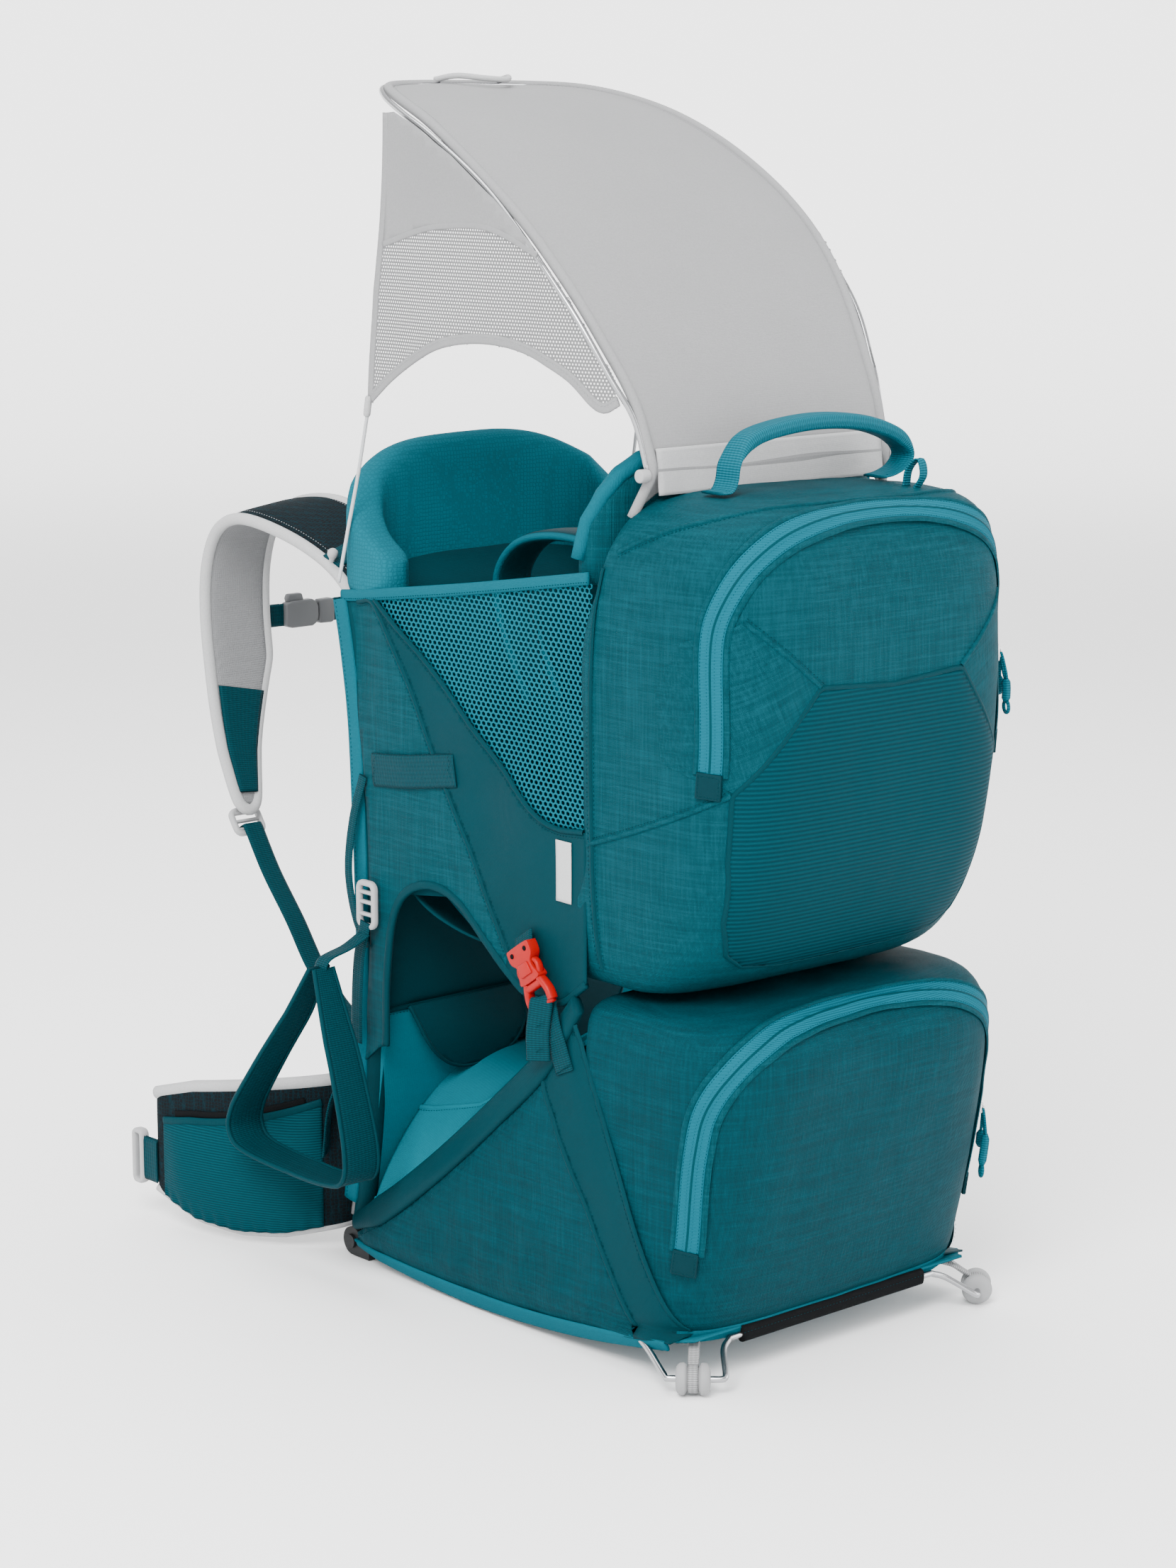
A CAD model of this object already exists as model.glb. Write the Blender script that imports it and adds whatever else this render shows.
"""Framed child carrier backpack: its looks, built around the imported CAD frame. Shapes are in mm."""
import math

import bmesh
import bpy
import numpy as np
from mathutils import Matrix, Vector, noise
from mathutils.bvhtree import BVHTree


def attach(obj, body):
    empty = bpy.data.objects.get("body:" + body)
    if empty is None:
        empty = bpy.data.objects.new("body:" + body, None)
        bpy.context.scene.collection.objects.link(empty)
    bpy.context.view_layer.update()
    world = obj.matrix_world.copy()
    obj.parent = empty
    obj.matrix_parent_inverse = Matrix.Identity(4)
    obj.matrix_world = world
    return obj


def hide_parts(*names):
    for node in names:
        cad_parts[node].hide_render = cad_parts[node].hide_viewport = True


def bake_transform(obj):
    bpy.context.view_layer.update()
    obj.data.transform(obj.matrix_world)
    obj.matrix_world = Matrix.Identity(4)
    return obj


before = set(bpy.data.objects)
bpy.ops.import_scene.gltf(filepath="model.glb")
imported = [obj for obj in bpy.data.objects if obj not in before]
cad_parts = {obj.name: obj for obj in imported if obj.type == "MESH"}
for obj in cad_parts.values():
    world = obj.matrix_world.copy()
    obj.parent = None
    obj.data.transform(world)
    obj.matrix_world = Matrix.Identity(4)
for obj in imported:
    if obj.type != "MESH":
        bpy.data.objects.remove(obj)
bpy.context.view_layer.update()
MM = 0.001
X, Y, Z = (1, 0, 0), (0, 1, 0), (0, 0, 1)


# ---- camera ----
def make_camera():
    azimuth, height, distance, tilt = math.radians(41.54), 937, 2744, math.radians(11.13)
    centre_y = -21
    data = bpy.data.cameras.new("camera")
    data.lens, data.sensor_width, data.sensor_fit = 79.4, 36, "AUTO"
    cam = linked("camera", data)
    cam.location = (-math.sin(azimuth) * distance * MM,
                    (centre_y - math.cos(azimuth) * distance) * MM, height * MM)
    cam.rotation_euler = (math.pi / 2 - tilt, 0, -azimuth)
    bpy.context.scene.camera = cam


# ---- materials ----
class Paint:
    """One material: a Principled shader and the nodes that feed it."""

    def __init__(self, name, rough=0.8, metal=0.0, spec=0.35):
        self.m = bpy.data.materials.new(name)
        self.m.use_nodes = True
        self.tree = self.m.node_tree
        self.shader = self.tree.nodes["Principled BSDF"]
        for key, value in (("Roughness", rough), ("Metallic", metal), ("Specular IOR Level", spec)):
            self.shader.inputs[key].default_value = value

    def node(self, kind, ins=None, **props):
        n = self.tree.nodes.new("ShaderNode" + kind)
        for k, v in props.items():
            setattr(n, k, v)
        for k, v in (ins or {}).items():
            if isinstance(v, bpy.types.NodeSocket):
                self.tree.links.new(v, n.inputs[k])
            else:
                n.inputs[k].default_value = v
        return n

    def math(self, op, a, b=0.0):
        return self.node("Math", {0: a, 1: b}, operation=op).outputs[0]

    def coords(self, kind="Object", scale=(1, 1, 1), turn=(0, 0, 0)):
        c = self.node("TexCoord").outputs[kind]
        turned = self.node("Mapping", {"Vector": c, "Rotation": turn}).outputs[0]
        return self.node("Mapping", {"Vector": turned, "Scale": scale}).outputs[0]

    def noise(self, vec, scale, detail=2.0):
        return self.node("TexNoise", {"Vector": vec, "Scale": scale, "Detail": detail}).outputs[0]

    def wave(self, vec, pitch, direction="X", profile="SIN"):
        """Bands that repeat every pitch mm."""
        scale = math.pi / (10 * pitch * MM)
        return self.node("TexWave", {"Vector": vec, "Scale": scale}, bands_direction=direction,
                         wave_profile=profile).outputs["Fac"]

    def span(self, value, low, high):
        return self.node("MapRange", {"Value": value, "To Min": low, "To Max": high}).outputs[0]

    def shade(self, color, *factors):
        """The colour times each factor."""
        f = factors[0]
        for g in factors[1:]:
            f = self.math("MULTIPLY", f, g)
        mixed = self.node("Mix", {"Factor": 1.0}, data_type="RGBA", blend_type="MULTIPLY")
        mixed.inputs[6].default_value = (*color, 1)
        grey = self.node("CombineColor", {0: f, 1: f, 2: f}).outputs[0]
        self.tree.links.new(grey, mixed.inputs[7])
        return mixed.outputs[2]

    def color(self, socket):
        self.tree.links.new(socket, self.shader.inputs["Base Color"])

    def bump(self, height, depth):
        b = self.node("Bump", {"Height": height, "Distance": depth * MM, "Strength": 1.0})
        self.tree.links.new(b.outputs[0], self.shader.inputs["Normal"])
        return self


def weave_height(p, vec, pitch):
    """A plain weave in whatever plane the surface lies: waves along the three axes, added."""
    waves = [p.wave(vec, pitch, d) for d in ("X", "Y", "Z")]
    return p.math("ADD", waves[0], p.math("ADD", waves[1], waves[2]))


def slub_fabric(name, color, turn=0.0):
    """Nylon with a cross-hatch of long, thin, lighter threads."""
    p = Paint(name, rough=0.6, spec=0.035)
    a = math.radians(turn)
    flat = p.coords(turn=(0, a, 0))
    up = p.noise(p.coords(scale=(520, 520, 22), turn=(0, a, 0)), 1.0, 3.0)
    along = p.noise(p.coords(scale=(22, 22, 520), turn=(0, a, 0)), 1.0, 3.0)
    broad = p.noise(flat, 9.0, 3.0)
    fine = p.noise(flat, 900.0, 1.0)
    threads = p.math("ADD", p.math("POWER", up, 2.0), p.math("POWER", along, 2.0))
    p.color(p.shade(color, p.span(threads, 0.66, 1.6), p.span(broad, 0.9, 1.1), p.span(fine, 0.9, 1.1)))
    height = p.math("ADD", weave_height(p, flat, 0.9), p.math("MULTIPLY", threads, 3.0))
    return p.bump(height, 0.10).m


def plain_fabric(name, color, pitch=0.8, depth=0.08, rough=0.75, vary=0.1):
    p = Paint(name, rough=rough, spec=0.03)
    flat = p.coords()
    broad = p.noise(flat, 14.0, 4.0)
    fine = p.noise(flat, 700.0, 2.0)
    p.color(p.shade(color, p.span(broad, 1 - vary, 1 + vary), p.span(fine, 0.88, 1.12)))
    height = p.math("ADD", weave_height(p, flat, pitch), p.math("MULTIPLY", fine, 1.5))
    return p.bump(height, depth).m


def ribbed_fabric(name, color, pitch, direction="Z", depth=0.35):
    """Stretch fabric with fine raised ribs."""
    p = Paint(name, rough=0.65, spec=0.03)
    flat = p.coords()
    rib = p.wave(flat, pitch, direction)
    fine = p.noise(flat, 800.0, 2.0)
    broad = p.noise(flat, 12.0, 3.0)
    p.color(p.shade(color, p.span(rib, 0.66, 1.14), p.span(broad, 0.94, 1.06), p.span(fine, 0.96, 1.04)))
    return p.bump(p.math("ADD", rib, p.math("MULTIPLY", fine, 0.08)), depth).m


def webbing(name, color, pitch=1.7, depth=0.35, across=3.2):
    """Woven tape: ribs across it, and finer lines along it. Its UVs are in metres along and across."""
    p = Paint(name, rough=0.6, spec=0.05)
    uv = p.coords("UV")
    rib = p.wave(uv, pitch, "X")
    line = p.wave(uv, across, "Y")
    fine = p.noise(p.coords(), 900.0, 2.0)
    p.color(p.shade(color, p.span(rib, 0.66, 1.16), p.span(line, 0.88, 1.06), p.span(fine, 0.88, 1.12)))
    return p.bump(p.math("ADD", rib, p.math("MULTIPLY", line, 0.4)), depth).m


def cell_fabric(name, color, dark, size, depth, power=1.0):
    """Cells in low relief, as on an embossed knit or a spacer mesh. The gaps are the dark colour."""
    p = Paint(name, rough=0.8, spec=0.05)
    vec = p.coords()
    cell = p.node("TexVoronoi", {"Vector": vec, "Scale": 1 / (size * MM), "Randomness": 0.35},
                  feature="DISTANCE_TO_EDGE").outputs["Distance"]
    raised = p.node("MapRange", {"Value": cell, "From Max": 0.22}, interpolation_type="SMOOTHSTEP")
    raised = p.math("POWER", raised.outputs[0], power)
    broad = p.noise(vec, 15.0, 3.0)
    mixed = p.node("Mix", {0: raised}, data_type="RGBA")
    mixed.inputs[6].default_value = (*dark, 1)
    p.tree.links.new(p.shade(color, p.span(broad, 0.9, 1.1)), mixed.inputs[7])
    p.color(mixed.outputs[2])
    return p.bump(raised, depth).m


def moulded(name, color, rough=0.45, grain=0.03):
    """Moulded plastic with a fine spark-eroded grain."""
    p = Paint(name, rough=rough, spec=0.18)
    flat = p.coords()
    fine = p.noise(flat, 1600.0, 2.0)
    broad = p.noise(flat, 40.0, 2.0)
    p.color(p.shade(color, p.span(broad, 0.94, 1.05)))
    return p.bump(fine, grain).m


def metal(name, color, rough):
    p = Paint(name, rough=rough, metal=1.0)
    scratch = p.noise(p.coords(scale=(60, 900, 900)), 1.0, 4.0)
    p.color(p.shade(color, p.span(scratch, 0.85, 1.1)))
    return p.bump(scratch, 0.01).m


M = {}


def make_materials():
    teal = (0.0012, 0.0300, 0.0395)
    M["slub"] = slub_fabric("slub_nylon", teal)
    M["slub_base"] = slub_fabric("slub_nylon_base", (0.0009, 0.0240, 0.0320))
    M["slub_turned"] = slub_fabric("slub_nylon_turned", teal, 24)
    M["smooth"] = plain_fabric("smooth_nylon", (0.0010, 0.0240, 0.0315), 0.7, 0.04, 0.5)
    M["stretch"] = ribbed_fabric("stretch_rib", (0.0011, 0.0290, 0.0390), 3.4)
    M["hip_rib"] = ribbed_fabric("hip_rib", (0.0014, 0.0340, 0.0450), 2.2)
    M["trim"] = plain_fabric("trim_knit", (0.0020, 0.0680, 0.0930), 1.0, 0.08)
    M["inner"] = plain_fabric("inner_brushed", (0.0030, 0.1050, 0.1400), 1.1, 0.06, 0.85)
    M["inner_dark"] = plain_fabric("inner_dark", (0.0010, 0.0220, 0.0290), 1.1, 0.06, 0.85)
    M["pad"] = cell_fabric("embossed_pad", (0.0024, 0.0820, 0.1110), (0.0020, 0.0660, 0.0900), 3.2, 0.15)
    M["mesh"] = plain_fabric("hexagon_mesh", (0.0026, 0.0840, 0.1140), 0.9, 0.08)
    M["zip"] = ribbed_fabric("zip_tape", (0.0024, 0.0800, 0.1130), 1.1, "Z", 0.06)
    M["zip_line"] = plain_fabric("zip_teeth", (0.0010, 0.0300, 0.0400), 0.8, 0.02, 0.5)
    M["web"] = webbing("webbing_teal", teal)
    M["web_light"] = webbing("webbing_blue", (0.0024, 0.0820, 0.1150), 1.9, 0.4)
    M["web_grey"] = webbing("webbing_grey", (0.25, 0.253, 0.257), 1.6)
    M["canopy"] = plain_fabric("canopy_nylon", (0.205, 0.207, 0.210), 0.7, 0.03, 0.55, 0.04)
    M["canopy_mesh"] = plain_fabric("canopy_mesh", (0.145, 0.147, 0.150), 0.8, 0.04, 0.6, 0.03)
    M["edge"] = plain_fabric("edge_binding", (0.33, 0.333, 0.336), 0.8, 0.05, 0.7, 0.04)
    M["thread"] = plain_fabric("thread", (0.0010, 0.0230, 0.0300), 0.5, 0.02)
    M["thread_grey"] = plain_fabric("thread_grey", (0.30, 0.31, 0.32), 0.5, 0.02)
    M["back_mesh"] = plain_fabric("spacer_mesh_grey", (0.165, 0.168, 0.172), 1.9, 0.16, 0.85, 0.05)
    M["black_mesh"] = cell_fabric("spacer_mesh_black", (0.004, 0.005, 0.006), (0.002, 0.013, 0.018), 3.0, 0.25,
                                  0.45)
    M["black"] = plain_fabric("black_binding", (0.004, 0.0045, 0.005), 0.8, 0.05)
    M["tag"] = plain_fabric("plain_tag", (0.42, 0.43, 0.43), 0.6, 0.03)
    M["grey"] = moulded("plastic_grey", (0.29, 0.293, 0.297))
    M["dark_grey"] = moulded("plastic_dark_grey", (0.085, 0.088, 0.092))
    M["black_plastic"] = moulded("plastic_black", (0.012, 0.013, 0.014))
    M["red"] = moulded("plastic_red", (0.27, 0.0003, 0.0007), 0.42)
    M["rubber"] = moulded("roller_grey", (0.235, 0.238, 0.242), 0.6, 0.05)
    M["steel"] = metal("steel_wire", (0.36, 0.365, 0.375), 0.24)
    M["alu"] = metal("frame_tube", (0.50, 0.51, 0.53), 0.35)
    M["cord_grey"] = plain_fabric("elastic_cord", (0.40, 0.41, 0.42), 0.9, 0.06)
    M["bright_metal"] = metal("zip_metal", (0.60, 0.60, 0.61), 0.25)


# ---- geometry ----
def unit(v):
    v = np.array(v, float)
    return v / np.linalg.norm(v, axis=-1, keepdims=True)


def signed_power(v, power):
    return np.sign(v) * abs(v) ** power


def eased(p, times, finish=lambda v: v):
    """Evens out a line in place, apart from its two ends."""
    for _ in range(times):
        p[1:-1] = finish((p[:-2] + 2 * p[1:-1] + p[2:]) / 4)


def across(half, yz, count):
    """Rows of points from -half to half in x, one row for each point [y, z]."""
    x = np.outer(half, np.linspace(-1, 1, count))
    return np.stack([x, np.repeat(yz[:, :1], count, 1), np.repeat(yz[:, 1:], count, 1)], 2)


def at_x(x, yz):
    """Points [y, z] put in space at x, which is a number or one number for each point."""
    return np.column_stack([np.broadcast_to(x, len(yz)), yz])


def round_points(rx, ry, count, at=(0, 0)):
    angles = np.linspace(0, 2 * math.pi, count + 1)[:-1]
    return [(at[0] + rx * math.cos(a), at[1] + ry * math.sin(a)) for a in angles]


def corner_ring(half_u, half_v, ru, rv):
    """A rounded rectangle's outline: the middles of its corner arcs and their radii."""
    points = []
    for cu, cv, start in ((1, 1, 0), (-1, 1, 90), (-1, -1, 180), (1, -1, 270)):
        for a in np.radians(np.linspace(start, start + 90, 7)):
            points.append((half_u * cu + ru * math.cos(a), half_v * cv + rv * math.sin(a)))
    return spaced(np.array(points + points[:1]), 60)[:-1]


def spaced(p, count, closed=False):
    """The same line with points at even distances."""
    step = np.linalg.norm(np.diff(p, axis=0), axis=1)
    s = np.concatenate([[0], np.cumsum(step)])
    at = np.linspace(0, s[-1], count, endpoint=not closed)
    return np.stack([np.interp(at, s, p[:, k]) for k in range(p.shape[1])], 1)


def curve(points, count, closed=False):
    """A smooth line through the points."""
    p = np.array(points, float)
    if closed:
        q = np.vstack([p[-1], p, p[0], p[1]])
    else:
        q = np.vstack([2 * p[0] - p[1], p, 2 * p[-1] - p[-2]])
    t = np.linspace(0, 1, 16, endpoint=False)[:, None]
    out = []
    for a, b, c, d in zip(q, q[1:], q[2:], q[3:]):
        out.append(0.5 * (2 * b + (c - a) * t + (2 * a - 5 * b + 4 * c - d) * t**2
                          + (3 * b - a - 3 * c + d) * t**3))
    out.append(out[0][:1] if closed else q[-2][None])
    return spaced(np.vstack(out), count, closed)


def line(points, count, closed=False):
    """Straight stretches between the points."""
    p = np.array(points, float)
    return spaced(np.vstack([p, p[:1]]) if closed else p, count, closed)


def linked(name, data):
    obj = bpy.data.objects.new(name, data)
    bpy.context.scene.collection.objects.link(obj)
    return obj


def from_bmesh(name, bm):
    me = bpy.data.meshes.new(name)
    bm.to_mesh(me)
    bm.free()
    return me


def mesh_object(name, verts, faces, uvs=None):
    me = bpy.data.meshes.new(name)
    me.from_pydata([tuple(v) for v in np.asarray(verts) * MM], [], faces)
    if uvs is not None:
        layer = me.uv_layers.new(name="UVMap")
        layer.data.foreach_set("uv", np.array(uvs, np.float32).ravel())
    me.update()
    return linked(name, me)


def grid(name, P, closed_u=False, closed_v=False, caps=False):
    """A surface through a grid of points. Its UVs are metres along each way."""
    nu, nv = P.shape[:2]

    def lengths(Q):
        d = np.linalg.norm(np.diff(np.concatenate([Q, Q[:1]]), axis=0), axis=2).mean(1)
        return np.concatenate([[0], np.cumsum(d)]) * MM
    lu, lv = lengths(P), lengths(P.transpose(1, 0, 2))
    faces, uvs = [], []
    for i in range(nu if closed_u else nu - 1):
        for j in range(nv if closed_v else nv - 1):
            i2, j2 = (i + 1) % nu, (j + 1) % nv
            faces.append((i * nv + j, i2 * nv + j, i2 * nv + j2, i * nv + j2))
            uvs += [(lu[i], lv[j]), (lu[i + 1], lv[j]), (lu[i + 1], lv[j + 1]), (lu[i], lv[j + 1])]
    if caps:
        for i, turn in ((0, 1), (nu - 1, -1)):
            faces.append(tuple(i * nv + j for j in range(nv))[::turn])
            uvs += [(lu[i], lv[j]) for j in range(nv)][::turn]
    return mesh_object(name, P.reshape(-1, 3), faces, uvs)


def tangents(p, closed=False):
    if closed:
        return unit(np.roll(p, -1, 0) - np.roll(p, 1, 0))
    return unit(np.gradient(p, axis=0))


def oval(width, thick, power=5.0, count=20):
    """A rounded section, as [across, out]."""
    a = np.linspace(0, 2 * math.pi, 400, endpoint=False)
    c, s = np.cos(a), np.sin(a)
    p = np.stack([width / 2 * signed_power(c, 2 / power), thick / 2 * signed_power(s, 2 / power)], 1)
    return spaced(np.vstack([p, p[:1]]), count, True)


def sweep(name, path, side, section, wide=1.0, deep=1.0, closed=False):
    """A section carried along a path. side is the way that the section's first axis points."""
    path = np.array(path, float)
    t = tangents(path, closed)
    side = np.broadcast_to(np.array(side, float), path.shape)
    side = unit(side - (side * t).sum(1, keepdims=True) * t)
    out = np.cross(t, side)
    wide = np.broadcast_to(np.array(wide, float), (len(path),))[:, None, None]
    deep = np.broadcast_to(np.array(deep, float), (len(path),))[:, None, None]
    P = (path[:, None] + section[None, :, :1] * wide * side[:, None]
         + section[None, :, 1:] * deep * out[:, None])
    return grid(name, P, closed_u=closed, closed_v=True, caps=not closed)


def tube(name, path, r, count=10, closed=False, taper=1.0):
    path = np.array(path, float)
    t = tangents(path, closed)
    side = np.zeros_like(path)
    any_way = (0.3, 0.5, 0.81)
    side[0] = unit(np.cross(t[0], any_way))
    for i in range(1, len(path)):
        side[i] = unit(side[i - 1] - t[i] * np.dot(side[i - 1], t[i]))
    a = np.linspace(0, 2 * math.pi, count, endpoint=False)
    return sweep(name, path, side, np.stack([np.cos(a), np.sin(a)], 1) * r, taper, taper, closed)


def rounded_plate(name, outline, thick, at, u, v, bevel=1.0):
    """A moulded plate: an outline in the u, v plane, centred on its thickness, with rounded edges."""
    u, v = unit(u), unit(v)
    n = np.cross(u, v)
    o = np.array(outline, float)
    flat = np.array(at, float) + o[:, :1] * u + o[:, 1:] * v
    k = len(o)
    verts = np.vstack([flat - n * thick / 2, flat + n * thick / 2])
    faces = [tuple(range(k))[::-1], tuple(range(k, 2 * k))]
    faces += [(i, (i + 1) % k, k + (i + 1) % k, k + i) for i in range(k)]
    obj = mesh_object(name, verts, faces)
    mod = obj.modifiers.new("round", "BEVEL")
    mod.width, mod.segments, mod.limit_method = bevel * MM, 3, "ANGLE"
    return baked(obj)


def baked(obj):
    """The object with its modifiers applied."""
    bpy.context.view_layer.update()
    graph = bpy.context.evaluated_depsgraph_get()
    me = bpy.data.meshes.new_from_object(obj.evaluated_get(graph))
    obj.modifiers.clear()
    obj.data = me
    return obj


def smoothed(obj, levels=1):
    mod = obj.modifiers.new("smooth", "SUBSURF")
    mod.levels = mod.render_levels = levels
    return baked(obj)


def thickened(obj, thick, offset=0.0):
    mod = obj.modifiers.new("thick", "SOLIDIFY")
    mod.thickness, mod.offset = thick * MM, offset
    return baked(obj)


def joined(name, *objs):
    """Several meshes as one object, each keeping its material."""
    bm = bmesh.new()
    mats = []
    for o in objs:
        base = len(mats)
        mats += list(o.data.materials) or [None]
        start = len(bm.faces)
        bm.from_mesh(o.data)
        bm.faces.ensure_lookup_table()
        for f in bm.faces[start:]:
            f.material_index += base
    me = from_bmesh(name, bm)
    for m in mats:
        me.materials.append(m)
    for o in objs:
        bpy.data.objects.remove(o)
    return linked(name, me)


def crumple(obj, depth, size, stretch=(1, 1, 1), seed=0.0):
    """Soft wrinkles: moves the surface along its normals by smooth noise."""
    me = obj.data
    s = Vector(stretch) / (size * MM)
    move = [noise.noise(Vector((v.co.x * s.x + seed, v.co.y * s.y, v.co.z * s.z))) for v in me.vertices]
    normals = [v.normal.copy() for v in me.vertices]
    for v, n, d in zip(me.vertices, normals, move):
        v.co += n * d * depth * MM
    me.update()
    return obj


def painted(obj, material):
    obj.data.materials.clear()
    obj.data.materials.append(M[material])
    return obj


def finished(obj, slot, *nodes):
    """Turns the faces outward, shades them smooth, and says what the piece stands for."""
    bm = bmesh.new()
    bm.from_mesh(obj.data)
    bmesh.ops.recalc_face_normals(bm, faces=bm.faces)
    bm.to_mesh(obj.data)
    bm.free()
    obj.data.polygons.foreach_set("use_smooth", [True] * len(obj.data.polygons))
    obj.data.update()
    if nodes:
        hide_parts(*nodes)
    return obj


def put(obj, body, material, *nodes):
    """Finishes a piece that rides on one body. Without a material it keeps its own."""
    if material:
        painted(obj, material)
    first = obj.data.materials[0].name
    slot = next(SLOTS[key] for key, m in M.items() if m.name == first)
    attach(obj, body)
    return finished(obj, slot, *nodes)


class Skin:
    """A surface that trims and seams are laid on."""

    def __init__(self, obj):
        bm = bmesh.new()
        bm.from_mesh(obj.data)
        self.tree = BVHTree.FromBMesh(bm)
        bm.free()

    def cast(self, start, way, lift=0.0):
        """Where a line from start meets the surface, lifted off it, and the way out there."""
        way = Vector(way)
        hit, normal, _, _ = self.tree.ray_cast(Vector(start) * MM, way)
        if hit is None:
            hit, normal, _, _ = self.tree.find_nearest(Vector(start) * MM)
        if normal.dot(way) > 0:
            normal = -normal
        return np.array(hit) / MM + np.array(normal) * lift, np.array(normal)

    def behind(self, xz, lift=0.0):
        """Points [x, z] seen from behind, laid on the surface."""
        hits = [self.cast((x, -600, z), (0, 1, 0), lift) for x, z in xz]
        return np.array([h[0] for h in hits]), np.array([h[1] for h in hits])

    def near(self, points, lift=0.0):
        """The nearest points of the surface, and the way out there."""
        found = [self.tree.find_nearest(Vector(p) * MM)[:2] for p in points]
        return (np.array([np.array(co) / MM + np.array(n) * lift for co, n in found]),
                np.array([np.array(n) for _, n in found]))


def stitches(name, path, normals, pitch=3.4, size=(2.2, 0.7, 0.5)):
    """A row of raised thread dashes along a path."""
    path = np.array(path, float)
    length = np.linalg.norm(np.diff(path, axis=0), axis=1).sum()
    count = max(2, int(length / pitch))
    p = spaced(path, count)
    n = unit(spaced(np.broadcast_to(np.array(normals, float), path.shape), count))
    t = tangents(p)
    side = np.cross(t, n)
    l, w, h = (x / 2 for x in size)
    corners = [(-l, 0, 0), (0, -w, 0), (l, 0, 0), (0, w, 0), (0, 0, h)]
    faces = [(0, 1, 4), (1, 2, 4), (2, 3, 4), (3, 0, 4), (3, 2, 1, 0)]
    verts, all_faces = [], []
    for i in range(count):
        for a, b, c in corners:
            verts.append(p[i] + t[i] * a + side[i] * b + n[i] * c)
        all_faces += [tuple(5 * i + k for k in f) for f in faces]
    return mesh_object(name, verts, all_faces)


def honeycomb(name, place, inside, box, cell, strand, thick, stretch=(1, 1)):
    """A net of hexagons. place turns a flat point into one in space, inside says which cells are kept."""
    (u0, v0), (u1, v1) = box
    du, dv = cell * math.sqrt(3) * stretch[0], cell * 1.5 * stretch[1]
    ring = [(math.sin(math.radians(60 * k)) * cell * stretch[0],
             math.cos(math.radians(60 * k)) * cell * stretch[1]) for k in range(6)]
    verts, keys, faces = [], {}, []

    def vert(u, v, shared):
        key = (round(u / (cell * 0.2)), round(v / (cell * 0.2)), shared)
        if shared and key in keys:
            return keys[key]
        verts.append(place(u, v))
        keys[key] = len(verts) - 1
        return keys[key]
    hole = 1 - strand / cell
    for row in range(int((v1 - v0) / dv) + 2):
        for col in range(int((u1 - u0) / du) + 2):
            u, v = u0 + (col + 0.5 * (row % 2)) * du, v0 + row * dv
            if not inside(u, v):
                continue
            outer = [vert(u + a, v + b, True) for a, b in ring]
            inner = []
            for a, b in ring:
                verts.append(place(u + a * hole, v + b * hole))
                inner.append(len(verts) - 1)
            faces += [(outer[k], outer[(k + 1) % 6], inner[(k + 1) % 6], inner[k]) for k in range(6)]
    net = mesh_object(name, verts, faces)
    return thickened(net, thick) if thick else net


def within(outline):
    """A test for whether a flat point lies in an outline."""
    p = np.array(outline, float)

    def test(u, v):
        a, b = p, np.roll(p, -1, 0)
        crosses = (a[:, 1] > v) != (b[:, 1] > v)
        with np.errstate(divide="ignore", invalid="ignore"):
            at = (b[:, 0] - a[:, 0]) * (v - a[:, 1]) / (b[:, 1] - a[:, 1]) + a[:, 0]
        return bool((crosses & (u < at)).sum() % 2)
    return test


SLOTS = {
    "slub": "fabric_main", "slub_base": "fabric_main", "slub_turned": "fabric_main", "smooth": "fabric_dark",
    "stretch": "fabric_dark", "black_plastic": "plastic_black", "hip_rib": "fabric_dark",
    "trim": "fabric_trim", "inner": "fabric_interior", "inner_dark": "fabric_interior",
    "pad": "fabric_trim", "mesh": "mesh_teal", "zip": "zip_tape", "zip_line": "zip_tape", "web": "webbing",
    "web_light": "webbing", "web_grey": "webbing", "canopy": "canopy_fabric", "canopy_mesh": "canopy_fabric",
    "edge": "mesh_grey", "thread": "webbing", "thread_grey": "canopy_fabric", "back_mesh": "mesh_grey",
    "black_mesh": "mesh_grey", "black": "mesh_grey", "tag": "canopy_fabric", "grey": "plastic_grey",
    "dark_grey": "plastic_dark", "red": "plastic_red", "rubber": "roller_rubber", "steel": "steel_wire",
    "alu": "frame_tube", "cord_grey": "elastic", "bright_metal": "zip_metal",
}


def panel(name, outline, place, step=7.0):
    """A flat outline cut into small squares, with each corner put in space."""
    o = np.array(outline, float)
    bm = bmesh.new()
    bm.faces.new([bm.verts.new((u, v, 0)) for u, v in o])
    for axis in (0, 1):
        for at in np.arange(o[:, axis].min() + step / 2, o[:, axis].max(), step):
            co, no = [0, 0, 0], [0, 0, 0]
            co[axis], no[axis] = at, 1
            bmesh.ops.bisect_plane(bm, geom=bm.verts[:] + bm.edges[:] + bm.faces[:], plane_co=co,
                                   plane_no=no, dist=1e-4)
    for v in bm.verts:
        v.co = Vector(place(v.co.x, v.co.y)) * MM
    return linked(name, from_bmesh(name, bm))


def strip(name, path, normals, profile):
    """A ribbon laid on a surface. profile lists [across, height] points."""
    n = unit(np.broadcast_to(np.array(normals, float), path.shape))
    side = unit(np.cross(tangents(path), n))
    q = np.array(profile, float)
    P = path[:, None] + q[None, :, :1] * side[:, None] + q[None, :, 1:] * n[:, None]
    return grid(name, P)


def laid(skin, guide, count, lift=0.0):
    """A smooth line laid on the nearest points of a surface."""
    p, n = skin.near(guide, lift)
    p, n = spaced(p, count), unit(spaced(n, count))
    eased(n, 3, unit)
    return p, n


WELT = [(-2.2, -0.6), (-1.7, 0.5), (-0.7, 1.1), (0.7, 1.1), (1.7, 0.5), (2.2, -0.6)]


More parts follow.
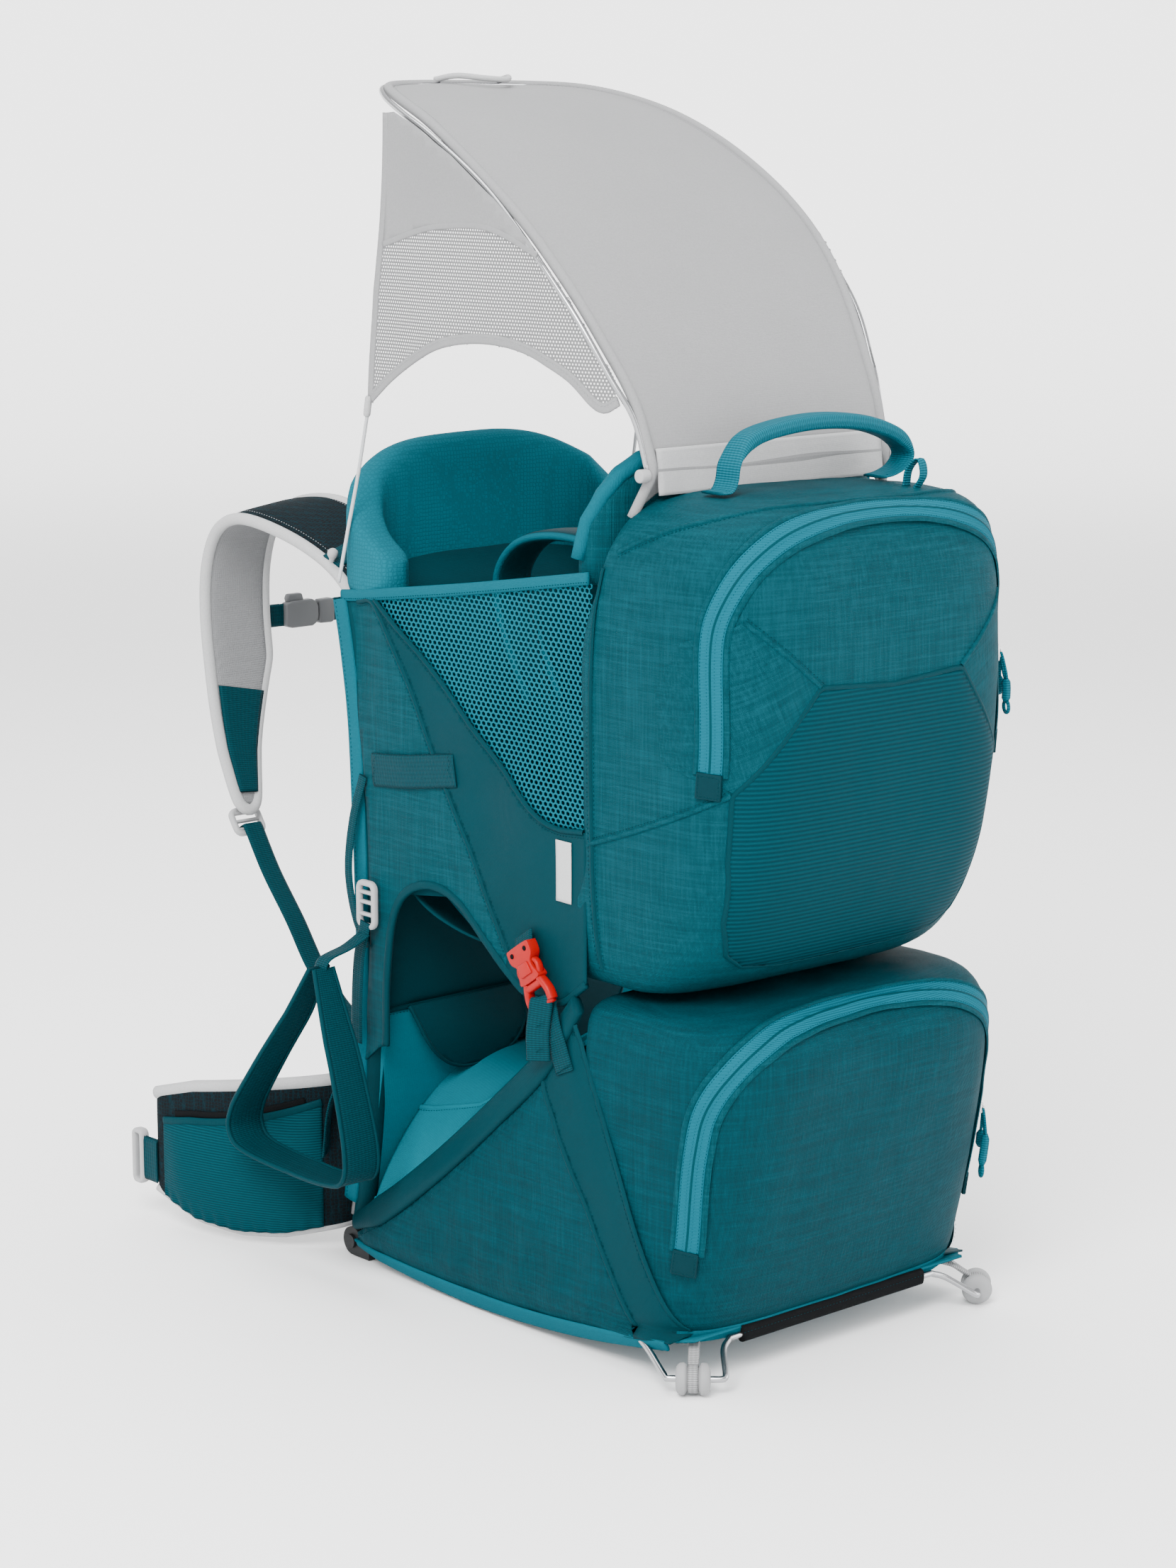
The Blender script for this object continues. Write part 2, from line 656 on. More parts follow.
def seam(name, path, normals, body, material, stitched=(4.2,), thread="thread"):
    """A raised seam with rows of stitches beside it."""
    put(strip(name, path, normals, WELT), body, material)
    side = unit(np.cross(tangents(path), unit(normals)))
    for k, off in enumerate(stitched):
        row = stitches(f"{name}_stitch_{k}", path + side * off, normals)
        put(row, body, thread)


SIDES = ((1, "left"), (-1, "right"))


# ---- rear pocket ----
def ring(z, front, rear, half, count=120, rear_power=4.8, front_power=9.0):
    mid = max(front - 30, (front + rear) / 2)
    a = np.linspace(math.pi / 2, math.pi * 2.5, 720)
    c, s = np.cos(a), np.sin(a)
    power = np.where(s > 0, front_power, rear_power)
    x = half * signed_power(c, 2 / power)
    y = mid + np.where(s > 0, front - mid, mid - rear) * signed_power(s, 2 / power)
    p = spaced(np.stack([x, y], 1), count + 1)[:-1]
    return np.concatenate([p, np.full((count, 1), z)], 1)


def zip_on(name, body, skin, arch, node):
    """A zip's tape, its teeth line and its stitching, on an arch given from the middle to a leg's end."""
    half = np.array(arch, float)
    p, n = skin.behind(curve(np.vstack([half[:0:-1] * (-1, 1), half]), 150), 0.3)
    eased(n, 6, unit)
    eased(p, 6)
    tape = strip(name, p, n, [(-9.4, -0.3), (-9.2, 0.9), (-7.5, 1.3), (-2.4, 1.3), (-1.5, 1.9), (0, 2.1),
                              (1.5, 1.9), (2.4, 1.3), (7.5, 1.3), (9.2, 0.9), (9.4, -0.3)])
    put(tape, body, "zip", node)
    put(strip(name + "_teeth", p + n * 2.15, n, [(-0.9, 0), (0, 0.25), (0.9, 0)]), body, "zip_line")
    side = unit(np.cross(tangents(p), n))
    for k, off in enumerate((-8.1, -3.2, 3.2, 8.1)):
        row = stitches(f"{name}_stitch_{k}", p + side * off + n * 1.25, n, 2.6, (1.8, 0.55, 0.4))
        put(row, body, "thread" if k in (0, 3) else "zip_line")
    for k, off in enumerate((-11.2, 11.2)):
        welt = strip(f"{name}_lip_{k}", p + side * off, n, [(-2.6, -0.5), (-1.6, 0.9), (0, 1.3), (1.6, 0.9),
                                                            (2.6, -0.5)])
        put(welt, body, "slub")
    for k, i in enumerate((0, -1)):
        down, side_way = unit(p[i] - p[1 if i == 0 else -2]), side[i]
        tab = [(-9.6, -2), (9.6, -2), (9.9, 17.5), (-9.9, 17.5)]
        plate = rounded_plate(f"{name}_tab_{k}", tab, 3.4, p[i] + n[i] * 1.4, side_way, down, 1.0)
        put(plate, body, "web")
        o = line([(-7.9, 0.5), (7.9, 0.5), (8.1, 15.6), (-8.1, 15.6)], 60, True)
        around = p[i] + n[i] * 3.1 + o[:, :1] * side_way + o[:, 1:] * down
        put(stitches(f"{name}_tab_stitch_{k}", around, n[i], 2.6), body, "thread")


def rear_pocket():
    levels = [
        (284, -200, -226, 60), (284.5, -185, -242, 104), (286.5, -172, -258, 130), (293, -160, -279, 143),
        (306, -158, -297, 150), (324, -160, -313, 153), (345, -168, -325, 154.5), (375, -183, -337, 155.5),
        (405, -183, -345, 156), (470, -183, -354, 156.5), (540, -183, -357, 156), (590, -197, -354.5, 153.5),
        (614, -202, -351, 149), (632, -209, -345, 142), (644, -213, -336, 131), (652, -215, -319, 114),
        (656.5, -216, -297, 90), (658.7, -219, -272, 54), (659.3, -232, -256, 20),
    ]
    P = np.stack([ring(*row) for row in curve(levels, 92)])
    bag = grid("main_pocket_shell", P, closed_v=True, caps=True)
    crumple(bag, 1.6, 95, seed=3.0)
    crumple(bag, 0.5, 22, (1, 1, 0.6), 9.0)
    put(bag, "pack", "slub", "main_pocket")
    skin = Skin(bag)

    outline = line([(0, 309), (60, 310), (100, 315), (119, 327), (130, 354), (136, 400), (137, 452), (74, 526),
                    (0, 521)], 90)
    outline = np.vstack([outline, outline[-2:0:-1] * (-1, 1)])

    def stretch_place(u, v):
        edge = min(12.0, np.min(np.hypot(outline[:, 0] - u, outline[:, 1] - v)))
        return skin.cast((u, -600, v), (0, 1, 0), 0.9 + 1.8 * math.sin(edge / 12 * math.pi / 2))[0]

    patch = panel("stretch_panel", outline, stretch_place, 6.5)
    put(thickened(patch, 1.0, -1), "pack", "stretch", "stretch_pocket")
    edge = np.vstack([outline, outline[:1]])
    p, n = skin.behind(spaced(edge, 260), 0.7)
    seam("stretch_edge", p, n, "pack", "smooth", (-3.6,))
    for s, side in SIDES:
        corner = [(-134, 577), (-74, 527), (-137, 454), (-158, 470), (-160, 520), (-152, 560)]

        def corner_place(u, v):
            if abs(u) < 140:
                return skin.cast((s * u, -600, v), (0, 1, 0), 0.7)[0]
            return skin.near([(s * u, -330 + (abs(u) - 140) * 3.0, v)], 0.7)[0][0]
        put(panel(f"corner_patch_{side}", corner, corner_place, 6), "pack", "slub_turned")
        for name, material, rows, counts, lift, offsets in (
                ("corner_seam", "slub", [(-74, -352, 527), (-104, -348, 552), (-133, -338, 577)],
                 (30, 40), 0.6, (3.6,)),
                ("wrap_seam", "slub", [(-137, -330, 452), (-152, -300, 436), (-156, -250, 416),
                                       (-156, -198, 398)], (40, 50), 0.6, (3.6,)),
                ("pocket_side_seam", "smooth", [(-160, -206, 300), (-160, -202, 350), (-162, -200, 420),
                                                (-162, -200, 500), (-160, -203, 560), (-155, -207, 606)],
                 (60, 80), 0.4, (3.8, -3.8)),
                ("top_seam", "slub", [(-150, -222, 618), (-128, -300, 655), (-60, -320, 668), (0, -322, 668)],
                 (40, 60), 0.5, (3.6,))):
            p, n = laid(skin, curve(np.array(rows) * (s, 1, 1), counts[0]), counts[1], lift)
            seam(f"{name}_{side}", p, n, "pack", material, [off * s for off in offsets])
    zip_on("pocket_zip", "pack", skin, [(0, 646), (66, 642), (106, 631), (131, 612), (144, 582), (147, 545),
                                        (147, 466)], "pocket_zip_tape")
    slider("pocket_slider", "pocket_zip", skin, (146, -600, 525), "pocket_zip_slider", 44)


def slider(name, body, skin, start, node, drop):
    """A metal slider on the tape with two cord pulls."""
    at, n = skin.cast(start, (0, 1, 0), 2.6)
    n = unit(n)
    up = unit(np.array(Z) - n * n[2])
    side = np.cross(up, n)
    shell = [(-4.2, -6), (-2.2, -7.2), (2.2, -7.2), (4.2, -6), (4.6, 2), (3.4, 6.4), (-3.4, 6.4), (-4.6, 2)]
    lower = rounded_plate(name + "_body", shell, 3.2, at + n * 0.9, side, up, 0.9)
    bridge_line = [at + up * d + n * h for d, h in ((4, 2), (2.4, 5), (-2.4, 5), (-4, 2))]
    bits = [painted(lower, "bright_metal"),
            painted(tube(name + "_bridge", curve(bridge_line, 14), 1.0, 8), "bright_metal")]
    eye = at + n * 5.2 - up * 1
    out = n * 4.5
    loop = [(0.6, 0), (2.2, 6), (2.6, 16), (1.2, 21), (-1.2, 21), (-2.6, 16), (-2.2, 6), (-0.6, 0)]
    loop = curve([eye + side * x - up * d + out * d / 22 for x, d in loop], 60, True)
    tail = eye - up * 20 + out * 0.9
    grip = curve([tail, tail - up * 8 + n * 0.5, tail - up * (drop - 26)], 20)
    tilt = unit(side * 0.28 - up + n * 0.1)
    second = np.array([eye + side * 1.5 + tilt * d for d in np.linspace(2, 20, 10)])
    grip_2 = np.array([second[-1] + tilt * d for d in np.linspace(0, 15, 14)])
    ring_line = np.array([grip[-1] + side * 4.6 * math.cos(a) - up * (4 + 4.6 * math.sin(a)) + n * 0.3
                          for a in np.linspace(0, 2 * math.pi, 17)[:-1]])

    def swell(count, least):
        """Thin at both ends, for a moulded grip."""
        return [least + (1 - least) * min(1, k / 3, (count - 1 - k) / 3) for k in range(count)]
    for end, path, r, round_count, closed, taper in (
            ("_cord", loop, 1.15, 8, True, 1.0), ("_grip", grip, 3.5, 12, False, swell(20, 0.6)),
            ("_cord_2", second, 1.3, 8, False, 1.0), ("_grip_2", grip_2, 3.6, 12, False, swell(14, 0.5)),
            ("_ring", ring_line, 1.5, 8, True, 1.0)):
        bits.append(painted(tube(name + end, path, r, round_count, closed, taper), "web_light"))
    put(joined(name, *bits), body, None, node)


# ---- base bag ----
def hem(y):
    """Height of the bag's bottom edge: it sags between the hinge and the feet."""
    along = np.clip((92 - np.asarray(y, float)) / 397, 0, 1)
    return 17 + along * 19 - 15 * np.sin(math.pi * along) ** 0.9


EDGE = [(92, 24), (50, 46), (0, 82), (-50, 122), (-99, 164), (-150, 210), (-182, 252), (-194, 268)]


def rear_block():
    levels = [
        (37, -200, -296, 148), (39, -192, -305, 156), (46, -190, -310, 159), (70, -190, -318, 160.5),
        (130, -190, -332, 161.5), (205, -190, -345, 161), (240, -190, -348, 160.5), (257, -190, -345, 159),
        (268, -190, -338, 156.5), (276, -191, -326, 151), (280.5, -194, -308, 141), (282.6, -202, -284, 118),
        (283.2, -220, -262, 60), (283.3, -232, -250, 24),
    ]
    P = np.stack([ring(*row) for row in curve(levels, 80)])
    P[:, :, 2] += np.clip((P[:, :, 1] + 300) / 110, 0, 1) * -3
    bag = grid("base_rear_bag", P, closed_v=True, caps=True)
    crumple(bag, 1.8, 90, seed=5.0)
    crumple(bag, 0.5, 20, (1, 1, 0.6), 2.0)
    return bag


def side_wall(s, side, skin):
    """The smooth gusset and the slub wall of one side. Gives the function that puts (y, z) on the wall."""
    seam_a, seam_b = [(-150, 207), (-255, 36)], [(-187, 258), (-294, 42)]
    front_low = [(92, float(hem(92)) + 2)] + EDGE[:6]
    low = [(y, float(hem(y)) + 2) for y in (-200, -150, -100, -50, 0, 50)]
    rear_low, last_low = (-255, float(hem(-255)) + 2), (-294, float(hem(-294)) + 2)
    fine = line(front_low + seam_b + [last_low] + low, 240, True)

    def place(y, z, lift=0.0):
        d = min(26.0, float(np.min(np.hypot(fine[:, 0] - y, fine[:, 1] - z))))
        puff = 5.0 * math.sin(d / 26 * math.pi / 2) - 1.0
        wave = noise.noise(Vector((y * 0.02, z * 0.03, 4.0 * s))) * 2.6 * d / 26
        crease = 0.9 * math.sin(y * 0.16 + z * 0.05) * math.exp(-((z - hem(y) - 30) / 60) ** 2) * d / 26
        front = max(0.0, y - 60) / 32
        out = 159.5 + puff + wave + crease - 6 * front * front
        if y < -192:
            hit = skin.cast((-s * 400, y, z), (s, 0, 0), 1.0)[0]
            turn = min(1.0, (-192 - y) / 60)
            out = out * (1 - turn) + turn * abs(hit[0])
        return (-s * (out + lift), y, z)
    wall = panel(f"side_wall_{side}", front_low + [rear_low] + low, place, 7)
    put(thickened(wall, 1.6), "base", "slub_base")
    gusset = panel(f"side_gusset_{side}", seam_a + [rear_low, last_low] + seam_b[::-1],
                   lambda y, z: place(y, z, 0.5), 6)
    put(thickened(gusset, 1.6), "base", "smooth")
    for k, ends in enumerate((seam_a, seam_b)):
        path = np.array([place(y, z, 1.6) for y, z in line(ends, 70)])
        seam(f"base_side_seam_{k}_{side}", path, (-s, 0, 0), "base", "smooth", (3.6,) if k else (-3.6,))
    return place


def base_bag():
    bag = rear_block()
    skin = Skin(bag)
    put(bag, "base", "slub_base", "base_bag")
    for s, side in SIDES:
        place = side_wall(s, side, skin)
        e = curve(EDGE, 100)
        t = tangents(e)
        up = np.stack([-t[:, 1], t[:, 0]], 1)
        up *= np.sign(up[:, 1:])
        lip = at_x(-s * 157.0 + s * 6 * np.clip((e[:, 0] - 60) / 32, 0, 1), e + up * 9)
        size = np.interp(np.linspace(0, 1, 100), [0, 0.12, 0.9, 1], [0.55, 1, 1, 0.7])
        lip = sweep(f"trough_lip_{side}", lip, at_x(s * 0.42, up), oval(26, 9, 2.5, 26), size)
        put(lip, "base", "smooth")
        seam_line = np.array([place(y, z, 1.4) for y, z in e + up * -3.2])
        put(stitches(f"trough_stitch_{side}", seam_line, (-s, 0, 0)), "base", "thread")
        y = np.linspace(90, -288, 110)
        low = at_x(-s * 158.5 * (1 - 0.03 * np.clip((y - 60) / 36, 0, 1)), np.stack([y, hem(y) - 1.0], 1))
        wide = np.interp(y, [-288, -200, -60, 40, 90], [0.6, 1, 1.15, 0.8, 0.5])
        put(sweep(f"hem_trim_{side}", low, (s * 0.45, 0, -1), oval(15, 3.6, 2.6, 18), wide), "base", "trim")
    ramp = ramp_points()
    put(thickened(grid("trough_lining", ramp), 2.0, -1), "base", "inner", "leg_trough")
    for s, side in SIDES:
        for k, t in enumerate((0.66, 0.965)):
            j = int(round((1 - s * t) / 2 * 80))
            path = ramp[:, j]
            sideways = ramp[:, min(80, j + 1)] - ramp[:, j - 1]
            n = unit(np.cross(sideways, tangents(path)))
            n *= np.sign(n[:, 2:])
            seam(f"trough_seam_{k}_{side}", path + n * 0.4, n, "base", "inner", (3.4 * s,))
    floor_y = np.linspace(92, -305, 60)
    half = np.interp(floor_y, [-305, -290, -260, 92], [146, 152, 157, 157])
    P = across(half, np.stack([floor_y, hem(floor_y) + 1], 1), 24)
    put(thickened(grid("base_floor_sheet", P), 2.0), "base", "trim", "base_floor")
    rear_hem(skin)
    zip_on("base_zip", "base", skin, [(0, 275), (66, 273), (106, 265), (134, 248), (148, 223), (152, 185),
                                      (152, 106)], "base_zip_tape")
    slider("base_slider", "base_zip", skin, (151, -600, 160), "base_zip_slider", 52)


def ramp_points():
    """The lining rises from the lip on each side to a low ridge, and climbs to the child's seat behind."""
    y = np.concatenate([np.linspace(78, 60, 8), np.linspace(54, -190, 62)])
    rim = np.interp(-y, [-78, -59, 3, 59, 102, 153, 190], [32, 41, 86, 127, 169, 212, 232]) + 11
    ridge = np.interp(-y, [-78, 0, 60, 120, 190], [165, 168, 196, 236, 268])
    t = np.linspace(-1, 1, 81)
    P = np.zeros((70, 81, 3))
    for i in range(70):
        rise = (1 - abs(t) ** 2.1) ** 0.8
        P[i, :, 0] = t * 149
        P[i, :, 1] = y[i]
        P[i, :, 2] = rim[i] + (ridge[i] - rim[i]) * rise
        P[i, :, 2] += [noise.noise(Vector((q * 2.2, y[i] * 0.012, 8.0))) * 2.0 * (1 - q**4) for q in t]
    return P


def rear_hem(skin):
    x = np.linspace(-146, 146, 100)
    p = skin.behind(np.stack([x, np.full(100, 41.0)], 1), 0.2)[0]
    p[:, 2] = 34 + 2 * np.abs(x / 146) ** 2
    p[:, 1] += 3.0
    put(sweep("rear_hem_trim", p, (0, 0.2, -1), oval(11, 3, 3, 16)), "base", "trim")
    p = skin.behind(np.stack([np.linspace(-98, 103, 60), np.full(60, 41.0)], 1), 0.0)[0]
    p[:, 2], p[:, 1] = 30.0, p[:, 1] + 5
    wide = 1 - 0.85 * np.abs(np.linspace(-1, 1, 60)) ** 3
    put(sweep("rear_slot", p, (0, 0.1, -1), oval(12, 3, 3, 14), wide), "base", "black")


# ---- cockpit ----
UPRIGHT = [(106, 12), (97, 60), (88, 120), (82, 190), (79, 257), (80, 320), (82, 374), (86, 450), (94, 505),
           (103, 548)]
SEAM_1 = [(88, 549), (61, 547), (20, 492), (-18, 426), (-55, 369), (-100, 296)]
SEAM_2 = [(62, 553), (1, 513), (-42, 480), (-93, 440), (-130, 412), (-157, 403), (-190, 405)]
ARCH = [(56, 190), (52, 250), (44, 296), (26, 322), (-5, 333), (-40, 324), (-75, 300), (-98, 282),
        (-120, 268)]
TOP = [(108, 550), (69, 556), (-57, 574), (-195, 596)]


def side_panels():
    for s, side in SIDES:
        arch = [tuple(p) for p in curve(ARCH[:8], 40)]
        d1 = [tuple(p) for p in curve(SEAM_1, 40)]
        d2 = [tuple(p) for p in curve(SEAM_2, 50)]

        def place(y, z, lift=0.0):
            near_pocket = np.clip((y + 195) / 40, 0, 1)
            wave = noise.noise(Vector((y * 0.018, z * 0.018, 7.0 * s))) * 2.0
            long_fold = math.sin((y * 0.8 + z * 0.6) * 0.06) * 0.5
            x = 151.0 + 2.0 * (1 - near_pocket) + (wave + long_fold) * near_pocket + lift
            x -= 0.10 * max(0.0, y - 60)
            return (-s * x, y, z)

        front = [(108, 550), (100, 520), (90, 470), (82, 420), (77, 380), (74, 330), (73, 290), (76, 250),
                 (82, 210), (90, 175), (84, 172), (66, 186)]
        front_outline = front + arch + [(-100, 296)] + d1[::-1][1:]
        front_panel = thickened(panel(f"front_panel_{side}", front_outline, place), 1.6)
        put(front_panel, "pack", "slub", f"side_panel_{side}")
        band = d1 + [(-98, 282), (-120, 269), (-160, 269), (-193, 290), (-193, 405)] + d2[::-1][1:]
        diagonal = panel(f"diagonal_panel_{side}", band, lambda y, z: place(y, z, 0.7))
        put(thickened(diagonal, 1.6), "pack", "smooth")
        window = within(d2 + [(-193, 405), (-195, 594)] + TOP[::-1][1:])
        net = honeycomb(f"mesh_window_{side}", lambda y, z: place(y, z, -1.2), window,
                        ((-200, 390), (112, 600)), 2.6, 0.74, 1.0, (1.25, 0.95))
        put(net, "pack", "mesh", f"side_mesh_{side}")

        def on_panel(points, count, lift):
            return np.array([place(y, z, lift) for y, z in curve(points, count)])
        out = np.array((-s, 0, 0))
        for k, (guide, lift) in enumerate(((SEAM_1, 1.6), (SEAM_2, 1.8))):
            seam(f"panel_seam_{k}_{side}", on_panel(guide, 90, lift), out, "pack", "smooth", (4.0, -4.0))
        path = on_panel([(110, 551)] + TOP[1:], 80, 0.6)
        put(sweep(f"top_binding_{side}", path, Z, oval(9.5, 4.4, 3, 18)), "pack", "trim")
        put(stitches(f"top_binding_stitch_{side}", path + (-s * 2.3, 0, -2.6), out, 3.0), "pack", "thread")
        path = on_panel(ARCH, 120, 0.2)
        put(sweep(f"arch_binding_{side}", path, (0, 0.3, 1), oval(7, 4.6, 3, 18)), "pack", "smooth")
        path = on_panel([(-98, 281), (-120, 268), (-160, 268), (-192, 289)], 50, 0.2)
        put(sweep(f"corner_binding_{side}", path, Z, oval(6, 4.4, 3, 16)), "pack", "smooth")
        u = curve(UPRIGHT, 120)
        put(tube(f"upright_sleeve_{side}", at_x(-s * 138.0, u[4:]), 9.4, 16), "pack", "smooth")
        edge_path = at_x(-s * 147.5, u[8:] + (9, 0))
        put(sweep(f"back_edge_{side}", edge_path, Y, oval(17, 4.5, 2.6, 20)), "pack", "trim")
        put(stitches(f"back_edge_stitch_{side}", edge_path + (-s * 2.4, 3.5, 0), out), "pack", "thread")
        path = on_panel([(66, 416), (20, 421), (-38, 430)], 40, 2.0)
        loose = path + out * (1.6 * np.sin(np.linspace(0, math.pi, 40)))[:, None]
        put(sweep(f"compression_{side}", loose, Z, oval(27, 1.8, 5, 20)), "pack", "web",
            f"compression_strap_{side}")
        zigzag = ((0, -11), (2.5, -6), (0, -1), (2.5, 4), (0, 9))
        for k, at in enumerate((62, -33)):
            rows = np.array([place(at + d, 416 + e - 0.2 * (at - 66), 3.3) for d, e in zigzag])
            put(stitches(f"compression_tack_{k}_{side}", rows, out, 2.4), "pack", "thread")
        loop = curve([(-s * 152, 79, 409), (-s * 156, 88, 372), (-s * 158, 92, 330), (-s * 156, 86, 292),
                      (-s * 152, 76, 268)], 60)
        put(sweep(f"side_loop_{side}", loop, Y, oval(10, 1.8, 4, 14)), "pack", "web")
        tag = panel(f"side_tag_{side}", [(-176, 348), (-158, 348), (-158, 395), (-176, 395)],
                    lambda y, z: place(y, z, 2.3), 6)
        put(thickened(tag, 0.6), "pack", "tag")


def back_and_lumbar():
    u = curve(UPRIGHT, 90)[3:]
    t = np.linspace(-1, 1, 60)
    n = unit(np.stack([np.gradient(u[:, 1]), -np.gradient(u[:, 0])], 1))
    P = across(np.full(len(u), 143.0), u + n * 10.5, 60)
    P[:, :, 1] -= n[:, :1] * 2 * abs(t) ** 6
    put(thickened(grid("back_panel_mesh", P), 6.5), "pack", "back_mesh", "back_panel")
    rows = curve([(98, 28), (89, 60), (80, 120), (73, 190), (70, 257), (71, 320), (73, 374), (75, 450),
                  (80, 505), (86, 545), (98, 562), (113, 575), (117, 584)], 80)
    P = across(np.interp(rows[:, 1], [28, 530, 562, 592], [141, 141, 110, 104]), rows, 60)
    split = int(np.argmin(abs(rows[:, 1] - 217)))
    put(thickened(grid("cockpit_lower_liner", P[:split + 1]), 1.4), "pack", "inner")
    put(thickened(grid("cockpit_upper_liner", P[split:]), 1.4), "pack", "smooth")
    seam("cockpit_front_seam", P[split] - (0, 1.6, 0), (0, -1, 0), "pack", "smooth", (3.6,))
    for s, side in SIDES:
        shape = curve([(2, 216), (0, 190), (-10, 170), (-30, 159), (-60, 156), (-84, 164), (-104, 184),
                       (-119, 216)], 50)
        flap = [(s * x, z) for x, z in shape]

        def flap_place(u, v):
            return (u, 64 - 6 * math.sin(math.pi * np.clip((217 - v) / 70, 0, 1)), v)
        put(thickened(panel(f"leg_flap_{side}", flap, flap_place, 7), 2.0), "pack", "smooth")
        edge = np.array([flap_place(u, v) for u, v in flap])
        put(tube(f"leg_flap_edge_{side}", edge, 1.8, 10), "pack", "smooth")
    lowest, highest, half = 28, 120, 110
    rows = (u[:, 1] >= lowest) & (u[:, 1] <= highest)
    v, m = spaced(u[rows], 26), unit(spaced(n[rows], 26))
    a = np.linspace(0, 2 * math.pi, 45)[:-1]
    rim = np.stack([signed_power(np.cos(a), 0.25), signed_power(np.sin(a), 0.4)], 1)
    end = np.sqrt(np.clip(1 - abs(np.linspace(-1, 1, 26)) ** 6, 0, 1))[:, None]
    body = np.stack([rim[:, 0] * half * (0.93 + 0.07 * end),
                     v[:, :1] + m[:, :1] * (23.2 + rim[:, 1] * (2 + 6.5 * end)),
                     np.repeat(v[:, 1:] + m[:, 1:] * 23.2, 44, 1)], 2)
    pad = grid("lumbar_cushion", body, closed_v=True, caps=True)
    put(pad, "pack", "back_mesh", "lumbar_pad")


def upright_pad(name, line_xy, low, high, thick, count=110, power=3.0):
    """A pad standing along a line seen from above; low and high give its bottom and top from (x, y)."""
    p = curve(line_xy, count)
    t = tangents(p)
    n = np.stack([t[:, 1], -t[:, 0]], 1)
    a = np.linspace(0, 2 * math.pi, 49)[:-1]
    c, s = np.cos(a), np.sin(a)
    sec = np.stack([signed_power(c, 2 / power), signed_power(s, 2 / 7)], 1)
    sec = spaced(np.vstack([sec, sec[:1]]), 49)[:-1]
    P = np.zeros((count, 48, 3))
    for i in range(count):
        end = min(i, count - 1 - i) / 5
        swell = math.sqrt(max(0.05, 1 - max(0.0, 1 - end) ** 2))
        z0, z1 = low(*p[i]), high(*p[i])
        mid, reach = (z0 + z1) / 2, (z1 - z0) / 2
        P[i, :, 2] = mid + sec[:, 1] * reach * (0.9 + 0.1 * swell)
        P[i, :, :2] = p[i] + (sec[:, 0] * thick / 2 * swell)[:, None] * n[i]
    return grid(name, P, closed_v=True, caps=True)


def cockpit_pads():
    half = [(0, 129), (50, 128), (98, 122), (124, 108), (135, 84), (134, 48)]
    whole = [(-x, y) for x, y in half[:0:-1]] + half

    def rail_top(x, y):
        arch = 672 - 34 * min(1.1, abs(x) / 130) ** 3.2
        return arch - np.interp(y, [44, 70, 98, 112], [54, 34, 12, 0])

    def rest_top(x, y):
        return np.interp(abs(x), [0, 105, 124, 135, 142, 146], [682, 681, 670, 655, 636, 608])
    pad = upright_pad("front_rail_pad", whole, lambda x, y: 549, rail_top, 30, 130, 2.3)
    crumple(pad, 1.2, 60, seed=1.0)
    put(pad, "pack", "pad", "front_pad")
    half = [(0, -204), (70, -203), (112, -199), (134, -190), (146, -176)]
    whole = [(-x, y) for x, y in half[:0:-1]] + half
    rest = upright_pad("head_rest_pad", whole, lambda x, y: 588, rest_top, 15)
    put(rest, "pack", "slub", "headrest")
    rim = curve(whole, 140)
    top = np.array([rest_top(x, y) for x, y in rim])
    binding = sweep("head_rest_rim_0", np.column_stack([rim, top + 0.5]), Z, oval(12, 16.5, 2.6, 20))
    put(binding, "pack", "trim")
    t = tangents(rim)
    inner = rim + np.stack([-t[:, 1], t[:, 0]], 1) * 8.2
    P = np.stack([np.column_stack([inner, 600 + (top - 603) * f]) for f in np.linspace(0, 1, 16)])
    put(thickened(grid("head_rest_lining", P), 1.2), "pack", "pad")


